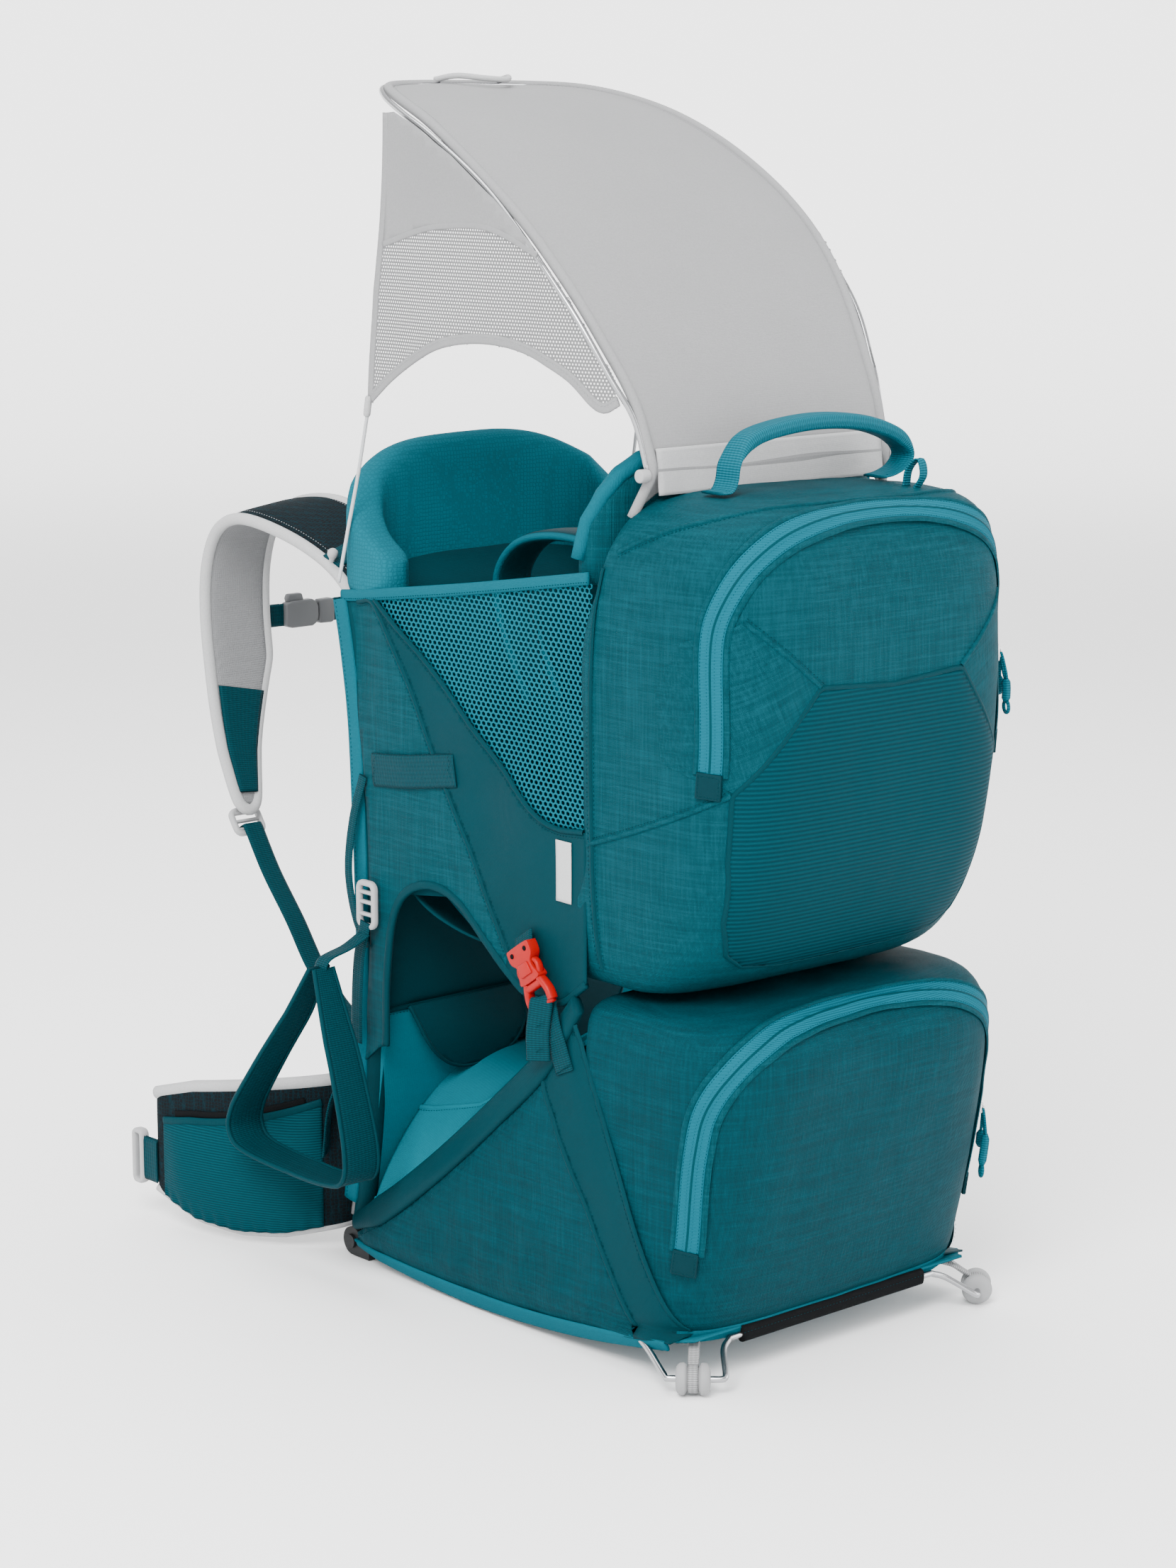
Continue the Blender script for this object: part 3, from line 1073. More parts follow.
def child_parts():
    f = np.linspace(0, 1, 40)
    height = 316 - 10 * np.sin(math.pi * f) + 10 * f ** 4
    P = across(54 + 20 * f ** 2, np.stack([np.linspace(44, -186, 40), height], 1), 30)
    P[:, :, 2] -= 6 * abs(np.linspace(-1, 1, 30)) ** 3
    cushion = thickened(grid("child_seat_cushion", P), 24, -1)
    z = np.linspace(330, 556, 40)
    half = 98 - 24 * np.clip((360 - z) / 40, 0, 1) ** 2 - 14 * np.clip((z - 520) / 40, 0, 1) ** 2
    P = across(half, np.stack([-186 + 6 * np.sin((z - 330) / 226 * math.pi), z], 1), 30)
    back = thickened(grid("child_seat_back", P), 10)
    for piece, nodes in ((cushion, ("child_seat",)), (back, ())):
        put(smoothed(piece), "seat", "inner", *nodes)
    q = curve([(-172, 566), (-152, 590), (-112, 607), (-62, 609), (-22, 598), (4, 570), (4, 530), (-14, 480),
               (-40, 420), (-76, 362), (-104, 338), (-130, 318)], 90)
    f = np.linspace(0, 1, 90)
    for s, name in SIDES:
        path = at_x(-s * np.interp(q[:, 1], [318, 440, 600], [44, 40, 62]), q)
        wide = np.interp(f, [0, 0.08, 0.5, 0.62, 1], [0.8, 1, 1, 0.55, 0.5])
        deep = np.interp(f, [0, 0.05, 0.5, 0.62, 1], [0.8, 1, 1, 0.3, 0.3])
        strap = sweep(f"child_harness_pad_{name}", path, X, oval(36, 9.5, 3, 24), wide, deep)
        put(strap, "seat", "smooth", *(("child_harness",) if s > 0 else ()))
        for k, off in enumerate((-16.5, 16.5)):
            edge = path[2:56] + (off, 0, 0)
            put(tube(f"child_harness_edge_{k}_{name}", edge, 3.0, 10), "seat", "trim")
        web_path = curve([(-s * 42, -24, 462), (-s * 30, -50, 446), (-s * 14, -76, 436)], 20)
        put(sweep(f"child_harness_web_{name}", web_path, Z, oval(20, 1.6, 5, 16)), "seat", "web")
    disc = round_points(18.5, 17, 32)
    plate = rounded_plate("child_buckle", disc, 10, (0, -77, 430), X, Z, 2.5)
    knob = rounded_plate("child_buckle_knob", np.array(disc) * 0.5, 3.4, (0, -83, 430), X, Z, 1.2)
    buckle = joined("child_buckle", painted(plate, "grey"), painted(knob, "dark_grey"))
    put(buckle, "seat", None, "harness_buckle")


def cockpit_inside():
    """The cockpit's inner sides and the sling under the seat."""
    outline = [(66, 545), (60, 420), (60, 330), (40, 318), (-20, 326), (-80, 290), (-186, 300), (-188, 402),
               (-157, 400), (-130, 408), (-93, 436), (-42, 476), (1, 509)]
    for s, side in SIDES:
        liner = panel(f"cockpit_liner_{side}", outline, lambda y, z: (-s * 147.5, y, z), 12)
        put(liner, "pack", "inner_dark")
    rows = curve([(60, 392), (44, 330), (20, 300), (-30, 284), (-90, 280), (-150, 284), (-190, 296)], 50)
    P = across(np.full(50, 143.0), rows - (0, 14), 40)
    P[:, :, 2] += 30 * abs(np.linspace(-1, 1, 40)) ** 2.4
    put(thickened(grid("seat_sling", P), 2), "pack", "inner_dark")


# ---- sunshade ----
ROOF = [(-228, 676), (-220, 708), (-204, 740), (-166, 796), (-128, 838), (-88, 870), (-36, 902), (14, 926),
        (60, 941), (100, 950), (126, 953)]
HALF_ROOF = [(121, -230), (126, -206), (134, -180), (142, -140), (144, -88), (141, -36), (133, 14), (122, 60),
             (104, 98), (80, 116), (50, 124), (0, 127)]
SHADE_SIDE = [(-212, 133), (-180, 142), (-140, 150), (-80, 153.5), (-10, 150), (40, 145), (80, 143)]


def sunshade_roof(side):
    """The roof, its sleeve over the hoop and its plain flap. side is the roof's outline seen from beside."""
    edge = curve(HALF_ROOF, 400)
    keep = np.concatenate([np.linspace(0, 300, 52), np.linspace(306, 398, 24)]).astype(int)
    edge = edge[keep]
    t = np.linspace(-1, 1, 61)
    P = np.zeros((len(edge), 61, 3))
    for i, (half, y) in enumerate(edge):
        z = np.interp(y, side[:, 0], side[:, 1])
        crown = 7 * math.sin(math.pi * np.clip((y + 230) / 357, 0, 1))
        wave = [noise.noise(Vector((q * 1.3, y * 0.009, 2.0))) * 2.2 * (1 - abs(q) ** 8) for q in t]
        P[i, :, 0], P[i, :, 1] = t * half, y
        P[i, :, 2] = z + crown * (1 - abs(t) ** 2.2) - 1.0 + wave
    tail = []
    for f in 1 - np.linspace(0, 0.95, 9):
        low = P[0].copy()
        low[:, 0] *= 1 + 0.08 * f
        low[:, 1] += 13 * f * abs(t) ** 4
        low[:, 2] -= f * (6 + 28 * abs(t) ** 6)
        tail.append(low)
    P = np.concatenate([np.array(tail), P])
    roof = thickened(grid("sunshade_roof", P), 1.0)
    put(roof, "shade", "canopy", "shade_roof")
    rim = spaced(np.vstack([P[:, 0], P[::-1, -1]]), 260)
    eased(rim, 3)
    put(tube("sunshade_sleeve", rim, 4.0, 14), "shade", "canopy")
    centre = np.array((0, -40, 700))
    row = rim + unit((centre - rim) * (1, 0.15, 0.0)) * 6.5 + (0, 0, 1.2)
    put(stitches("sunshade_stitch_0", row, unit(rim - centre), 3.2, (2.2, 0.8, 0.7)), "shade", "thread_grey")
    f = np.linspace(0, 1, 14)
    flap = across(np.full(14, 117.0), np.stack([-231.5 + 4 * f, 657 + 34 * f], 1), 40)
    put(thickened(grid("sunshade_base_flap", flap), 1.6), "shade", "edge")


def sunshade():
    side = curve(ROOF, 400)
    sunshade_roof(side)
    half = np.array([(-125, -228, 673), (-128, -216, 712), (-136, -200, 740), (-146, -164, 793),
                     (-149, -86, 867), (-145, -10, 911), (-136, 40, 930), (-122, 80, 943), (-98, 108, 950),
                     (-50, 122, 952)])
    hoop = curve(np.vstack([half, half[::-1] * (-1, 1, 1)]), 160)
    bits = [painted(tube("shade_wire", hoop, 2.3, 10), "steel")]
    for s, _ in SIDES:
        pivot = rounded_plate("pivot", round_points(5, 5, 24), 9.6, (-s * 130, -228, 672), Y, Z, 1.5)
        bits.append(painted(pivot, "grey"))
    put(joined("sunshade_hoop", *bits), "shade", None, "shade_hoop")
    for s, name in SIDES:
        ys, xs = zip(*SHADE_SIDE)

        def place(y, z, lift=0.0):
            top = np.interp(y, side[:, 0], side[:, 1])
            f = np.clip((top - z) / 150, 0, 1)
            sag = 4.0 * math.sin(math.pi * f) * np.clip((y + 200) / 80, 0, 1)
            wave = noise.noise(Vector((y * 0.012, z * 0.012, 11.0))) * 2.2 * f
            return (-s * (np.interp(y, ys, xs) + lift - sag + wave), y, z)
        lower = [(74, 707), (36, 732), (-18, 754), (-70, 761), (-117, 756), (-160, 739), (-190, 717),
                 (-206, 722)]
        split = [(60, 830), (20, 840), (-19, 846), (-80, 846), (-134, 828)]
        mesh_front = [(70, 760), (64, 800)]
        rear = [(-204, 738), (-190, 760), (-166, 794), (-150, 813)]
        solid = split + [(-128, 836), (-88, 868), (-36, 899), (10, 920), (40, 931), (53, 930), (58, 880)]
        upper = thickened(panel(f"sunshade_side_{name}", solid, place, 8), 0.8)
        put(upper, "shade", "canopy", f"shade_side_{name}")
        region = within([tuple(q) for q in curve(lower, 60)] + rear + split[::-1] + mesh_front[::-1])
        net = honeycomb(f"sunshade_net_{name}", place, region, ((-210, 700), (80, 850)), 1.75, 1.0, 0)
        put(net, "shade", "canopy_mesh")
        q = curve(lower, 90)
        path = np.array([place(y, z + 3) for y, z in q])
        put(sweep(f"sunshade_hem_{name}", path, (0, 0.2, 1), oval(8, 2.2, 3, 14)), "shade", "canopy")
        row = np.array([place(y, z + 4.5, 1.3) for y, z in q])
        put(stitches(f"sunshade_hem_stitch_{name}", row, (-s, 0, 0), 3.0), "shade", "thread_grey")
        front = [(74, 707), (70, 760), (63, 830), (56, 890), (51, 930)]
        for k, (guide, wide, way) in enumerate(((front, 7.0, (0, 1, 0.1)), (split, 5.0, (0, 0.1, 1)))):
            path = np.array([place(y, z) for y, z in curve(guide, 60)])
            put(sweep(f"sunshade_band_{k}_{name}", path, way, oval(wide, 2.0, 3, 14)), "shade", "canopy")
        toggle = curve([(-s * 144.5, 75, 712), (-s * 145, 76, 704), (-s * 145.4, 77, 696)], 12)
        put(tube(f"cord_tab_{name}", toggle, 3.0, 10, taper=[0.7] + [1] * 10 + [0.7]), "shade", "edge")
        cord = curve([(-s * 145, 76, 700), (-s * 147.2, 86, 652), (-s * 149.5, 98, 604),
                      (-s * 151.5, 108, 562)], 40)
        elastic = painted(tube(f"shade_elastic_{name}", cord, 1.5, 10), "cord_grey")
        finished(elastic, "elastic", f"shade_cord_{name}")
        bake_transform(elastic)
    loop = curve([(-34, 126, 956), (-26, 108, 959), (-8, 94, 957), (12, 92, 956), (26, 106, 958),
                  (32, 124, 956)], 60)
    put(tube("shade_pull_cord", loop, 2.4, 10), "shade", "edge", "shade_pull_loop")


# ---- wearer's harness ----
STRAP = [(122, 522), (136, 548), (165, 574), (205, 592), (250, 600), (295, 598), (324, 582), (339, 552),
         (343, 515), (339, 470), (328, 420), (312, 375), (300, 346)]


def two_sided(obj, count, inside, outside):
    """Gives a swept piece one material on each side. count is the number of points round its section."""
    painted(obj, inside)
    obj.data.materials.append(M[outside])
    for p in obj.data.polygons:
        p.material_index = int(p.index % count < count // 2)


def shoulder_straps():
    q = curve(STRAP, 150)
    f = np.linspace(0, 1, 150)
    for s, name in SIDES:
        half = np.interp(f, [0, 0.74, 0.88, 0.97, 1], [30, 30, 18, 11, 8])
        centre = np.interp(f, [0, 0.74, 0.9, 1], [85, 85, 101, 106])
        path = at_x(-s * centre, q)
        twist = np.radians(24) * np.exp(-((f - 0.24) / 0.17) ** 2)
        way = np.stack([-s * np.cos(twist), 0 * f, -np.sin(twist)], 1)
        core = sweep(f"strap_core_{name}", path, way, oval(60, 10.5, 3.2, 28), half / 30,
                     np.interp(f, [0, 0.05, 0.9, 1], [0.7, 1, 1, 0.5]))
        two_sided(core, 28, *("back_mesh", "black_mesh")[::s])
        put(core, "harness", None, f"shoulder_strap_{name}")
        reach = way * (half + 1.0)[:, None]
        rim = spaced(np.vstack([path + reach, path[-1:] + (0, -4.0, -6.5), (path - reach)[::-1]]), 300)
        eased(rim, 4)
        put(tube(f"strap_piping_{name}", rim, 5.0, 14), "harness", "edge")
        outward = unit(np.cross(way, tangents(path)))
        if outward[60, 2] < 0:
            outward = -outward
        for k, d in enumerate((-1, 1)):
            row = path + way * (d * (half - 5.5))[:, None] + outward * 5.4
            put(stitches(f"strap_stitch_{k}_{name}", row[6:-8], outward[6:-8], 3.4), "harness", "thread_grey")
        tip = slice(118, 147)
        cover = sweep(f"strap_tip_patch_{name}", path[tip] - outward[tip] * 5.0, way[tip],
                      oval(56, 2.6, 5, 20), half[tip] / 30)
        put(cover, "harness", "web")
        upper, lower = 22, 96
        for k, i in enumerate((upper, lower)):
            row = np.array([path[i] + way[i] * x + outward[i] * (6.2 - 0.0016 * x * x)
                            for x in np.linspace(-31, 31, 24)])
            band = sweep(f"strap_cross_band_{k}_{name}", row, tangents(path)[i], oval(20, 2.0, 5, 18))
            put(band, "harness", "web")
        stem = np.array([path[upper] + way[upper] * 30.0 + outward[upper] * d for d in (2, 4, 8, 12, 15, 17)])
        put(tube(f"strap_knob_{name}", stem, 4.4, 14, taper=[0.7, 0.55, 0.55, 1, 1, 0.6]), "harness", "grey")
        ladder(f"strap_ladder_{name}", "harness", (-s * 106, 302, 331), X, (0, math.sin(math.radians(35)),
               math.cos(math.radians(35))), 32, 26, (-7, 0.5, 8), f"strap_buckle_{name}")
        web_line = [(306, 322), (302, 326), (295.2, 330), (290.5, 324), (268, 292), (235, 255), (205, 218),
                    (165, 188), (122, 177)]
        low = at_x(-s * 106.0, np.vstack([line(web_line[:3], 8)[:-1], curve(web_line[2:], 80)]))
        strap = painted(sweep(f"lower_strap_{name}", low, X, oval(20, 1.8, 5, 16)), "web")
        finished(strap, "webbing", f"lower_webbing_{name}")
        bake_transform(strap)
    yoke_line = curve([q for q in UPRIGHT if q[1] > 440], 30)
    n = unit(np.stack([np.gradient(yoke_line[:, 1]), -np.gradient(yoke_line[:, 0])], 1))
    pad = sweep("yoke_pad", at_x(0.0, yoke_line + n * 17.7), X, oval(222, 6.2, 9, 40))
    put(pad, "harness", "black_mesh", "harness_yoke")


def ladder(name, body, at, u, v, wide, high, bars, *nodes):
    """A moulded ladder buckle: a rounded frame with bars across it."""
    u, v, at = unit(u), unit(v), np.array(at, float)
    corner = 5.0
    o = corner_ring(wide / 2 - 2.4 - corner, high / 2 - 2.4 - corner, corner, corner)
    n = np.cross(u, v)
    rim = at + o[:, :1] * u + o[:, 1:] * v
    bits = [painted(sweep(name + "_rim", rim, n, oval(5.6, 4.8, 3, 14), closed=True), "grey")]
    for b in bars:
        row = np.array([at + u * x + v * b for x in np.linspace(-wide / 2 + 3, wide / 2 - 3, 12)])
        bits.append(painted(sweep(name + "_bar", row, n, oval(4.6, 3.0, 3, 12)), "grey"))
    put(joined(name, *bits), body, None, *nodes)


def sternum():
    z = 497
    for s, side in SIDES:
        start, end = -s * 80, -s * 25
        path = np.array([(x, 351.6 + 1.2 * math.sin((x - start) / (end - start) * math.pi), z)
                         for x in np.linspace(start, end, 30)])
        fold = np.array([(x, 353.6, z) for x in np.linspace(-s * 44, -s * 30, 8)])
        bits = [painted(sweep("sternum_web", path, Z, oval(20, 1.8, 5, 18)), "web"),
                painted(sweep("sternum_fold", fold, Z, oval(20, 2.4, 4, 16)), "web")]
        female = ([(-27, -10), (-20, -12), (2, -12), (6, -10), (8.6, -5), (8.6, 5), (6, 10), (2, 12),
                   (-20, 12), (-27, 10)], 9.6, (0, 351, z), 2.0)
        whistle = ([(-22, 0), (-8, 0), (-6, 3), (-8, 9), (-22, 9), (-24, 5)], 7, (0, 352, z + 9), 1.6)
        male = ([(9.6, -10.5), (24, -11), (26.4, -8), (26.4, 8), (24, 11), (9.6, 10.5)], 9.0, (0, 351, z),
                1.8)
        prongs = ([(-8, -7), (10, -8), (10, 8), (-8, 7)], 3.6, (0, 351, z), 1.0)
        for outline, thick, at, bevel in (female, whistle) if s > 0 else (male, prongs):
            bits.append(painted(rounded_plate("plate", outline, thick, at, X, Z, bevel), "dark_grey"))
        put(joined(f"sternum_{side}_piece", *bits), f"sternum_{side}", None, f"sternum_strap_{side}")


# ---- hipbelt and stirrups ----
WING = [(-128, 123), (-154, 135), (-177, 160), (-197, 200), (-211, 245), (-219, 282)]


def hipbelt():
    def low(x, y):
        return np.interp(y, [100, 130, 160, 195, 235, 285], [28, 17, 9, 6, 10, 30])

    def high(x, y):
        return np.interp(y, [100, 130, 180, 240, 285], [148, 148, 140, 130, 117])
    for s, name in SIDES:
        body = "hip_" + name
        path = [(s * x, y) for x, y in WING]
        wing = upright_pad(f"wing_core_{name}", path, low, high, 11, 90, 3.2)
        put(wing, body, "black_mesh", f"hip_wing_{name}")
        p = curve(path, 90)
        for k, f in enumerate((high, low)):
            edge = np.array([(x, y, f(x, y) + (-3 if k == 0 else 3)) for x, y in p])
            put(tube(f"wing_piping_{k}_{name}", edge, 5.6 if k == 0 else 4.2, 14), body, "edge")
        t = tangents(p)
        n = np.stack([t[:, 1], -t[:, 0]], 1)
        n *= 1 if (n[40, 0] * s < 0) else -1
        rows = range(14, 84)
        v = np.linspace(0, 1, 26)
        P = np.zeros((len(rows), 26, 3))
        for a, i in enumerate(rows):
            f = a / (len(rows) - 1)
            end = math.sin(math.pi * min(1, min(f, 1 - f) * 5 + 0.02) / 2)
            z0, z1 = low(*p[i]) + 5, high(*p[i]) - 20 - 8 * math.sin(math.pi * f) - 8 * f
            bulge = 6.4 + 8.6 * end * np.sin(math.pi * np.clip(v, 0.03, 0.97)) ** 0.6
            pucker = 0.9 * np.sin(a * 1.1) * np.exp(-((v - 0.02) / 0.10) ** 2)
            P[a, :, :2] = p[i] + (bulge + pucker)[:, None] * n[i]
            P[a, :, 2] = z0 + (z1 - z0) * v
        pocket = thickened(grid(f"wing_pocket_{name}", P), 1.4, 0)
        put(pocket, body, "hip_rib")
        top = P[:, -1] + (0, 0, 0.6)
        put(sweep(f"wing_pocket_hem_{name}", top, Z, oval(6.5, 3.0, 3, 14)), body, "smooth")
        zipper = top[6:-6] + (0, 0, 5.4)
        zipper[:, :2] -= n[20:len(rows) + 8][:len(zipper)] * 2.0
        put(sweep(f"wing_zip_{name}", zipper, Z, oval(6, 1.8, 4, 12)), body, "black")
        web_path = np.linspace((-s * 220.0, 266, 55), (-s * 222.0, 306, 55), 30)
        put(sweep(f"wing_web_{name}", web_path, Z, oval(38, 2.0, 6, 20)), body, "web")
        rim = at_x(-s * 222.0, corner_ring(2.4, 18.5, 3.0, 3.4) + (305, 55))
        ring_obj = sweep(f"wing_ring_{name}", rim, X, oval(9, 4.6, 3, 14), closed=True)
        put(ring_obj, body, "grey", f"hip_buckle_{name}")
        brace = curve([(-s * 150, 112, 158), (-s * 160, 118, 128), (-s * 163, 122, 86)], 30)
        put(sweep(f"wing_brace_{name}", brace, (0.75, s * 0.66, 0), oval(24, 2.2, 5, 18)), body, "web")
        fold = np.linspace((-s * 223.4, 278, 55), (-s * 223.4, 299, 55), 10)
        put(sweep(f"wing_web_fold_{name}", fold, Z, oval(38, 1.8, 6, 20)), body, "web")


def stirrups():
    loop = [(70, 262), (96, 220), (130, 172), (158, 130), (162, 110), (146, 97), (96, 89), (46, 90), (22, 98),
            (18, 126), (32, 182), (50, 228), (64, 262)]
    q = curve(loop, 170)
    for s, name in SIDES:
        body = "stirrup_" + name
        flare = 2.0 * np.sin(np.linspace(0, 3 * math.pi, 170)) + 9 * np.clip((q[:, 0] - 96) / 60, 0, 1)
        path = at_x(-s * (206.0 + flare), q)
        wide = np.interp(np.linspace(0, 1, 170), [0, 0.12, 0.3, 0.7, 0.88, 1], [0.55, 0.85, 1, 1, 0.85, 0.55])
        band = sweep(f"stirrup_band_{name}", path, X, oval(35, 2.8, 4, 24), wide)
        put(band, body, "web", f"stirrup_{name}")
        for k, d in enumerate((-1, 1)):
            edge = path + np.outer(d * 16.6 * wide, X)
            put(tube(f"stirrup_edge_{k}_{name}", edge, 2.0, 10), body, "smooth")
            mid = path + np.outer(d * 6.0 * wide, X)
            t = tangents(mid)
            out = np.stack([np.zeros(170), t[:, 2], -t[:, 1]], 1)
            put(stitches(f"stirrup_stitch_{k}_{name}", mid + out * 1.4, out, 3.2), body, "thread")
        hang = curve([(-s * 206, 69.5, 258), (-s * 200, 69, 268), (-s * 178, 69, 274),
                      (-s * 161, 69, 282)], 40)
        put(sweep(f"stirrup_web_{name}", hang, (0, 1, 0), oval(16, 1.8, 5, 16)), body, "web")
        ladder(f"stirrup_ladder_{name}", "pack", (-s * 158, 68, 306), Y, Z, 24, 40, (-8, 2, 10),
               f"stirrup_lock_{name}")
        tail = curve([(-s * 160, 68, 292), (-s * 163, 73, 262), (-s * 162, 78, 224), (-s * 161, 80, 190)], 40)
        put(sweep(f"stirrup_tail_{name}", tail, (0, 1, 0), oval(14, 1.6, 5, 14)), "pack", "web")


# ---- buckles, feet and handle ----
def red_buckles():
    up = unit((0, 0.55, 0.835))
    fwd = unit(np.cross(up, (1, 0, 0)))
    for s, name in SIDES:
        o = np.array((-s * 163.0, -146, 281))

        def moved(x, y, z):
            """A step from the buckle's middle: outward, along its width and along its length."""
            return o + np.array((-s * x, 0, 0)) + fwd * y + up * z
        half = [(-10, 4), (-11.5, 8), (-9.2, 13), (-8.8, 18), (-12.6, 22), (-14, 25), (-14, 31), (-11.5, 33.5)]
        female = half + [(-y, z) for y, z in half[::-1]]
        ridge = [(-7, 9), (7, 9), (6, 19), (-6, 19)]
        bits = [painted(rounded_plate("plate", outline, thick, moved(x, 0, 0), fwd * s, up, bevel), material)
                for outline, thick, x, bevel, material in (
                    (curve(female, 90, True), 9.6, 0, 2.4, "red"), (ridge, 2.4, 5.2, 1.0, "red"),
                    (round_points(2, 2, 16, (-8.5, 28.5)), 1.2, 4.7, 0.3, "black"),
                    (round_points(2, 2, 16, (8.5, 28.5)), 1.2, 4.7, 0.3, "black"))]
        put(joined(f"red_upper_{name}", *bits), "pack", None, f"red_buckle_{name}")
        legs = [(12.6, -15.5), (12.8, -8), (10.5, -1), (8.0, 4.0)]
        prongs = [(7.5, 3), (11.4, 10), (11.8, 15), (9.5, 19)]
        rods = []
        for d in (-1, 1):
            rods.append((curve([moved(0, d * y, z) for y, z in legs], 24), 8.6, 5.4, 16))
            rods.append((curve([moved(0, d * y, z) for y, z in prongs], 20), 6.4, 3.4, 12))
        rods.append((np.linspace(moved(0, -11, 0.5), moved(0, 11, 0.5), 14), 8.0, 6.4, 16))
        rods.append((np.linspace(moved(0, -13, -15.5), moved(0, 13, -15.5), 14), 5.6, 5.0, 14))
        bits = [painted(sweep("rod", path, X, oval(wide, thick, 3, count)), "red")
                for path, wide, thick, count in rods]
        put(joined(f"red_lower_{name}", *bits), "base", None, f"red_latch_{name}")
        start = moved(0, 0, -15.5)
        back = curve([start + (s * 3.4, 0, 6), start + (s * 3.0, -2, -4), (-s * 164.0, -166, 250),
                      (-s * 164.4, -173, 236), (-s * 164.2, -180, 220)], 60)
        put(sweep(f"latch_web_{name}", back, fwd + (0, 0.1, 0), oval(21, 1.9, 5, 18)), "base", "web",
            f"latch_strap_{name}")
        front = curve([start + (s * 2.0, 0, 7), start + (-s * 2.6, -1, 5), start + (-s * 4.6, -1, -4),
                       (-s * 170.5, -156, 246), (-s * 171.5, -158, 226)], 50)
        put(sweep(f"latch_tail_{name}", front, fwd - (s * 0.45, 0, 0), oval(20, 2.4, 4, 18)), "base", "web")
        for tack_name, tape, i, reach, count, lift in (("latch_tack_0", front, 24, 8.5, 15, 1.6),
                                                       ("latch_tack_1", front, 42, 8.5, 15, 1.6),
                                                       ("latch_end_tack", back, 56, 10, 17, 1.4)):
            tack = np.array([tape[i + j % 2] + fwd * d + (-s * lift, 0, 0)
                             for j, d in enumerate(np.linspace(-reach, reach, count))])
            put(stitches(f"{tack_name}_{name}", tack, (-s, 0, 0), 1.6), "base", "thread")
        anchor = curve([moved(-2, 0, 31), moved(-7, 0, 42)], 12)
        put(sweep(f"buckle_anchor_{name}", anchor, fwd, oval(24, 2.2, 5, 18)), "pack", "web")


def feet():
    hoop = [(-146.25, 92, 12), (-150, 70, 13), (-156, 30, 16.5), (-158, -100, 23), (-158, -240, 29.5),
            (-159, -262, 28), (-166, -290, 15.5), (-169, -299, 12.3)]
    toe = [(-141, -327, 12.3), (-136, -328, 14), (-122, -311, 26), (-110, -305, 31)]
    half = np.vstack([curve(hoop, 90), line([hoop[-1], toe[0]], 12)[1:-1], curve(toe, 30)])
    cross = line([(-110, -305, 31), (110, -305, 31)], 20)[1:-1]
    other = half[::-1] * (-1, 1, 1)
    loop = np.vstack([half, cross, other])
    wire = painted(tube("wire", loop, 2.5, 12), "steel")
    front = painted(tube("front_wire", line([(-146.25, 92, 12), (146.25, 92, 12)], 12), 2.5, 12), "steel")
    put(joined("base_wire", wire, front), "base", None, "base_hoop")
    sleeve = line([(-98, -305, 31.5), (98, -305, 31.5)], 40)
    put(sweep("wire_sleeve", sleeve, Z, oval(13, 8, 2.6, 18)), "base", "black")
    put(stitches("wire_sleeve_stitch", sleeve + (0, -4.2, 2), (0, -1, 0)), "base", "thread")
    for s, name in SIDES:
        centre = np.array((-s * 155.0, -313, 12.3))
        axis = unit((s * 0.707, -0.707, 0))
        half = [(-13, 3.2), (-13, 7.2), (-12.2, 9.6), (-10.4, 11.6), (-8.4, 12.25), (-6.4, 12.0), (-5.4, 11.0),
                (-4.8, 9.2), (-3.2, 8.4)]
        profile = half + [(0, 8.2)] + [(-d, r) for d, r in half[::-1]]
        side = unit(np.cross(axis, Z))
        a = np.linspace(0, 2 * math.pi, 49)[:-1]
        P = np.array([[centre + axis * d + (side * math.cos(t) + np.array(Z) * math.sin(t)) * r for t in a]
                      for d, r in profile])
        roller = grid(f"roller_{name}", P, closed_v=True, caps=True)
        put(smoothed(roller), "roller_" + name, "rubber", f"foot_roller_{name}")
        ring_line = centre + np.array([side * math.cos(t) * 9.6 + np.array(Z) * math.sin(t) * 9.6 for t in a])
        c, d = centre + (s * 4.0, 4.0, 9.6), centre + (s * 23.0, 23.0, 20.5)
        loop_path = curve([c + (-s, -1, -2), c, (c + d) / 2 + (0, 0, 2), d], 24)
        tie = sweep("tie", loop_path, axis, oval(8.5, 2.4, 4, 14))
        wrap = sweep("wrap", ring_line, axis, oval(8.0, 1.8, 4, 14), closed=True)
        put(joined(f"foot_tie_{name}", painted(tie, "web_grey"), painted(wrap, "web_grey")), "base", None,
            *(("foot_straps",) if s > 0 else ()))


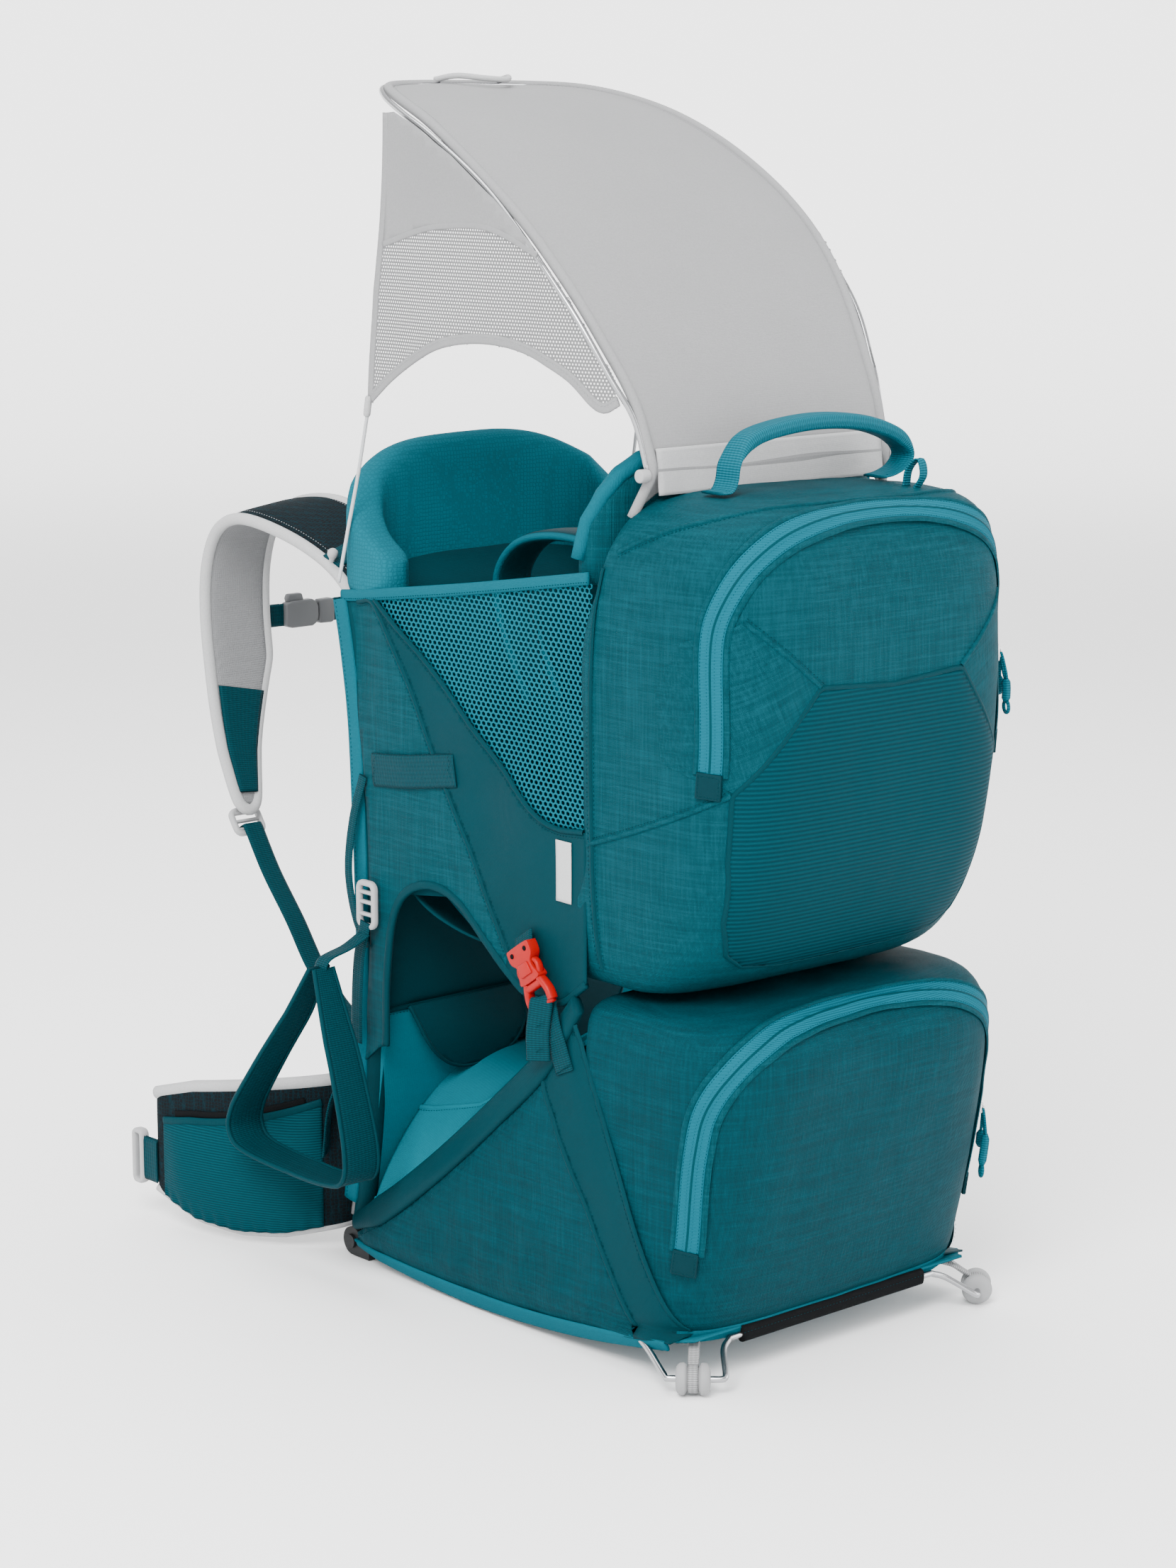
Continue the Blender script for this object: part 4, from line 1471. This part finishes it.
def handle():
    shape = [(-95, 660.2), (-86, 660.8), (-81, 668), (-76, 684), (-54, 699), (0, 706), (52, 703), (90, 692),
             (104, 678), (99, 668), (86, 662.4), (74, 660.6)]
    q = curve(shape, 130)
    middle_y = -264.5
    path = np.insert(q, 1, middle_y, axis=1)
    u = abs(np.linspace(-1, 1, 130))
    thick = np.interp(u, [0, 0.62, 0.76, 1], [5.2, 5.0, 1.0, 1.0])
    wide = np.interp(u, [0, 0.62, 0.76, 1], [0.86, 0.86, 1.0, 1.0])
    band = sweep("haul_band", path, (0, 1, 0), oval(25, 2.4, 3.2, 28), wide, thick)
    put(band, "pack", "web_light", "haul_handle")
    for s, side in SIDES:
        for k, d in enumerate((-9, 9)):
            row = np.linspace((s * 78, middle_y + d, 662.2), (s * 90, middle_y + d, 662.2), 10)
            put(stitches(f"haul_stitch_{k}_{side}", row, Z, 2.4), "pack", "thread")
    tab = curve([(80, -300, 652), (83, -306, 664), (82, -303, 676), (78, -296, 668), (77, -294, 654)], 30)
    put(sweep("tab_loop", tab, X, oval(9, 1.6, 4, 12)), "pack", "web_light")


# ---- stage ----
def stage_and_light():
    scene = bpy.context.scene
    world = bpy.data.worlds.new("studio")
    scene.world = world
    world.use_nodes = True
    back = world.node_tree.nodes["Background"]
    back.inputs[0].default_value, back.inputs[1].default_value = (1.0, 1.0, 1.0, 1), 1.32
    flat_radius, sweep_radius = 6.0, 5.0
    turns = np.linspace(0, 2 * np.pi, 97)[:-1]
    rises = np.radians(np.linspace(0, 80, 25))
    radii = [0.5, 2.0, 4.0] + list(flat_radius + sweep_radius * np.sin(rises))
    heights = [0.0] * 3 + list(sweep_radius * (1 - np.cos(rises)))
    mesh = bpy.data.meshes.new("floor")
    rings = [(r * np.cos(t), r * np.sin(t), z - 0.0005) for r, z in zip(radii, heights) for t in turns]
    n = len(turns)
    faces = [(i * n + j, i * n + (j + 1) % n, (i + 1) * n + (j + 1) % n, (i + 1) * n + j)
             for i in range(len(radii) - 1) for j in range(n)]
    mesh.from_pydata(rings, [], [tuple(range(n))] + [f[::-1] for f in faces])
    mesh.shade_smooth()
    floor = linked("floor", mesh)
    p = Paint("studio_floor", rough=0.9)
    p.color(p.shade((0.94, 0.94, 0.94), p.span(p.noise(p.coords(), 3.0), 0.99, 1.01)))
    out = p.node("VectorMath", {0: p.coords()}, operation="LENGTH").outputs["Value"]
    glow = p.node("MapRange", {"Value": out, "From Min": 3.0, "From Max": 8.5, "To Min": 0.0, "To Max": 1.6},
                  interpolation_type="SMOOTHSTEP").outputs[0]
    p.shader.inputs["Emission Color"].default_value = (1.0, 1.0, 1.0, 1)
    p.tree.links.new(glow, p.shader.inputs["Emission Strength"])
    floor.data.materials.append(p.m)
    for name, at, size, power, aim in (("key", (-2.6, -1.6, 3.2), 2.0, 330, (0, 0, 0.45)),
                                       ("fill", (2.4, -3.0, 1.8), 2.6, 90, (0, 0, 0.5)),
                                       ("top", (0.2, 0.6, 3.4), 2.4, 110, (0, 0, 0.4))):
        data = bpy.data.lights.new(name, "AREA")
        data.shape, data.size, data.energy = "SQUARE", size, power
        lamp = linked(name, data)
        lamp.location = at
        lamp.rotation_euler = (Vector(aim) - Vector(at)).to_track_quat("-Z", "Y").to_euler()


def cad_materials():
    for node, key in (("back_frame", "alu"), ("hinge_brackets", "black_plastic"),
                      ("hinge_pins", "black_plastic")):
        painted(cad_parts[node], key)


make_camera()
make_materials()
cad_materials()
rear_pocket()
base_bag()
side_panels()
back_and_lumbar()
cockpit_pads()
child_parts()
cockpit_inside()
sunshade()
shoulder_straps()
sternum()
hipbelt()
stirrups()
red_buckles()
feet()
handle()
stage_and_light()
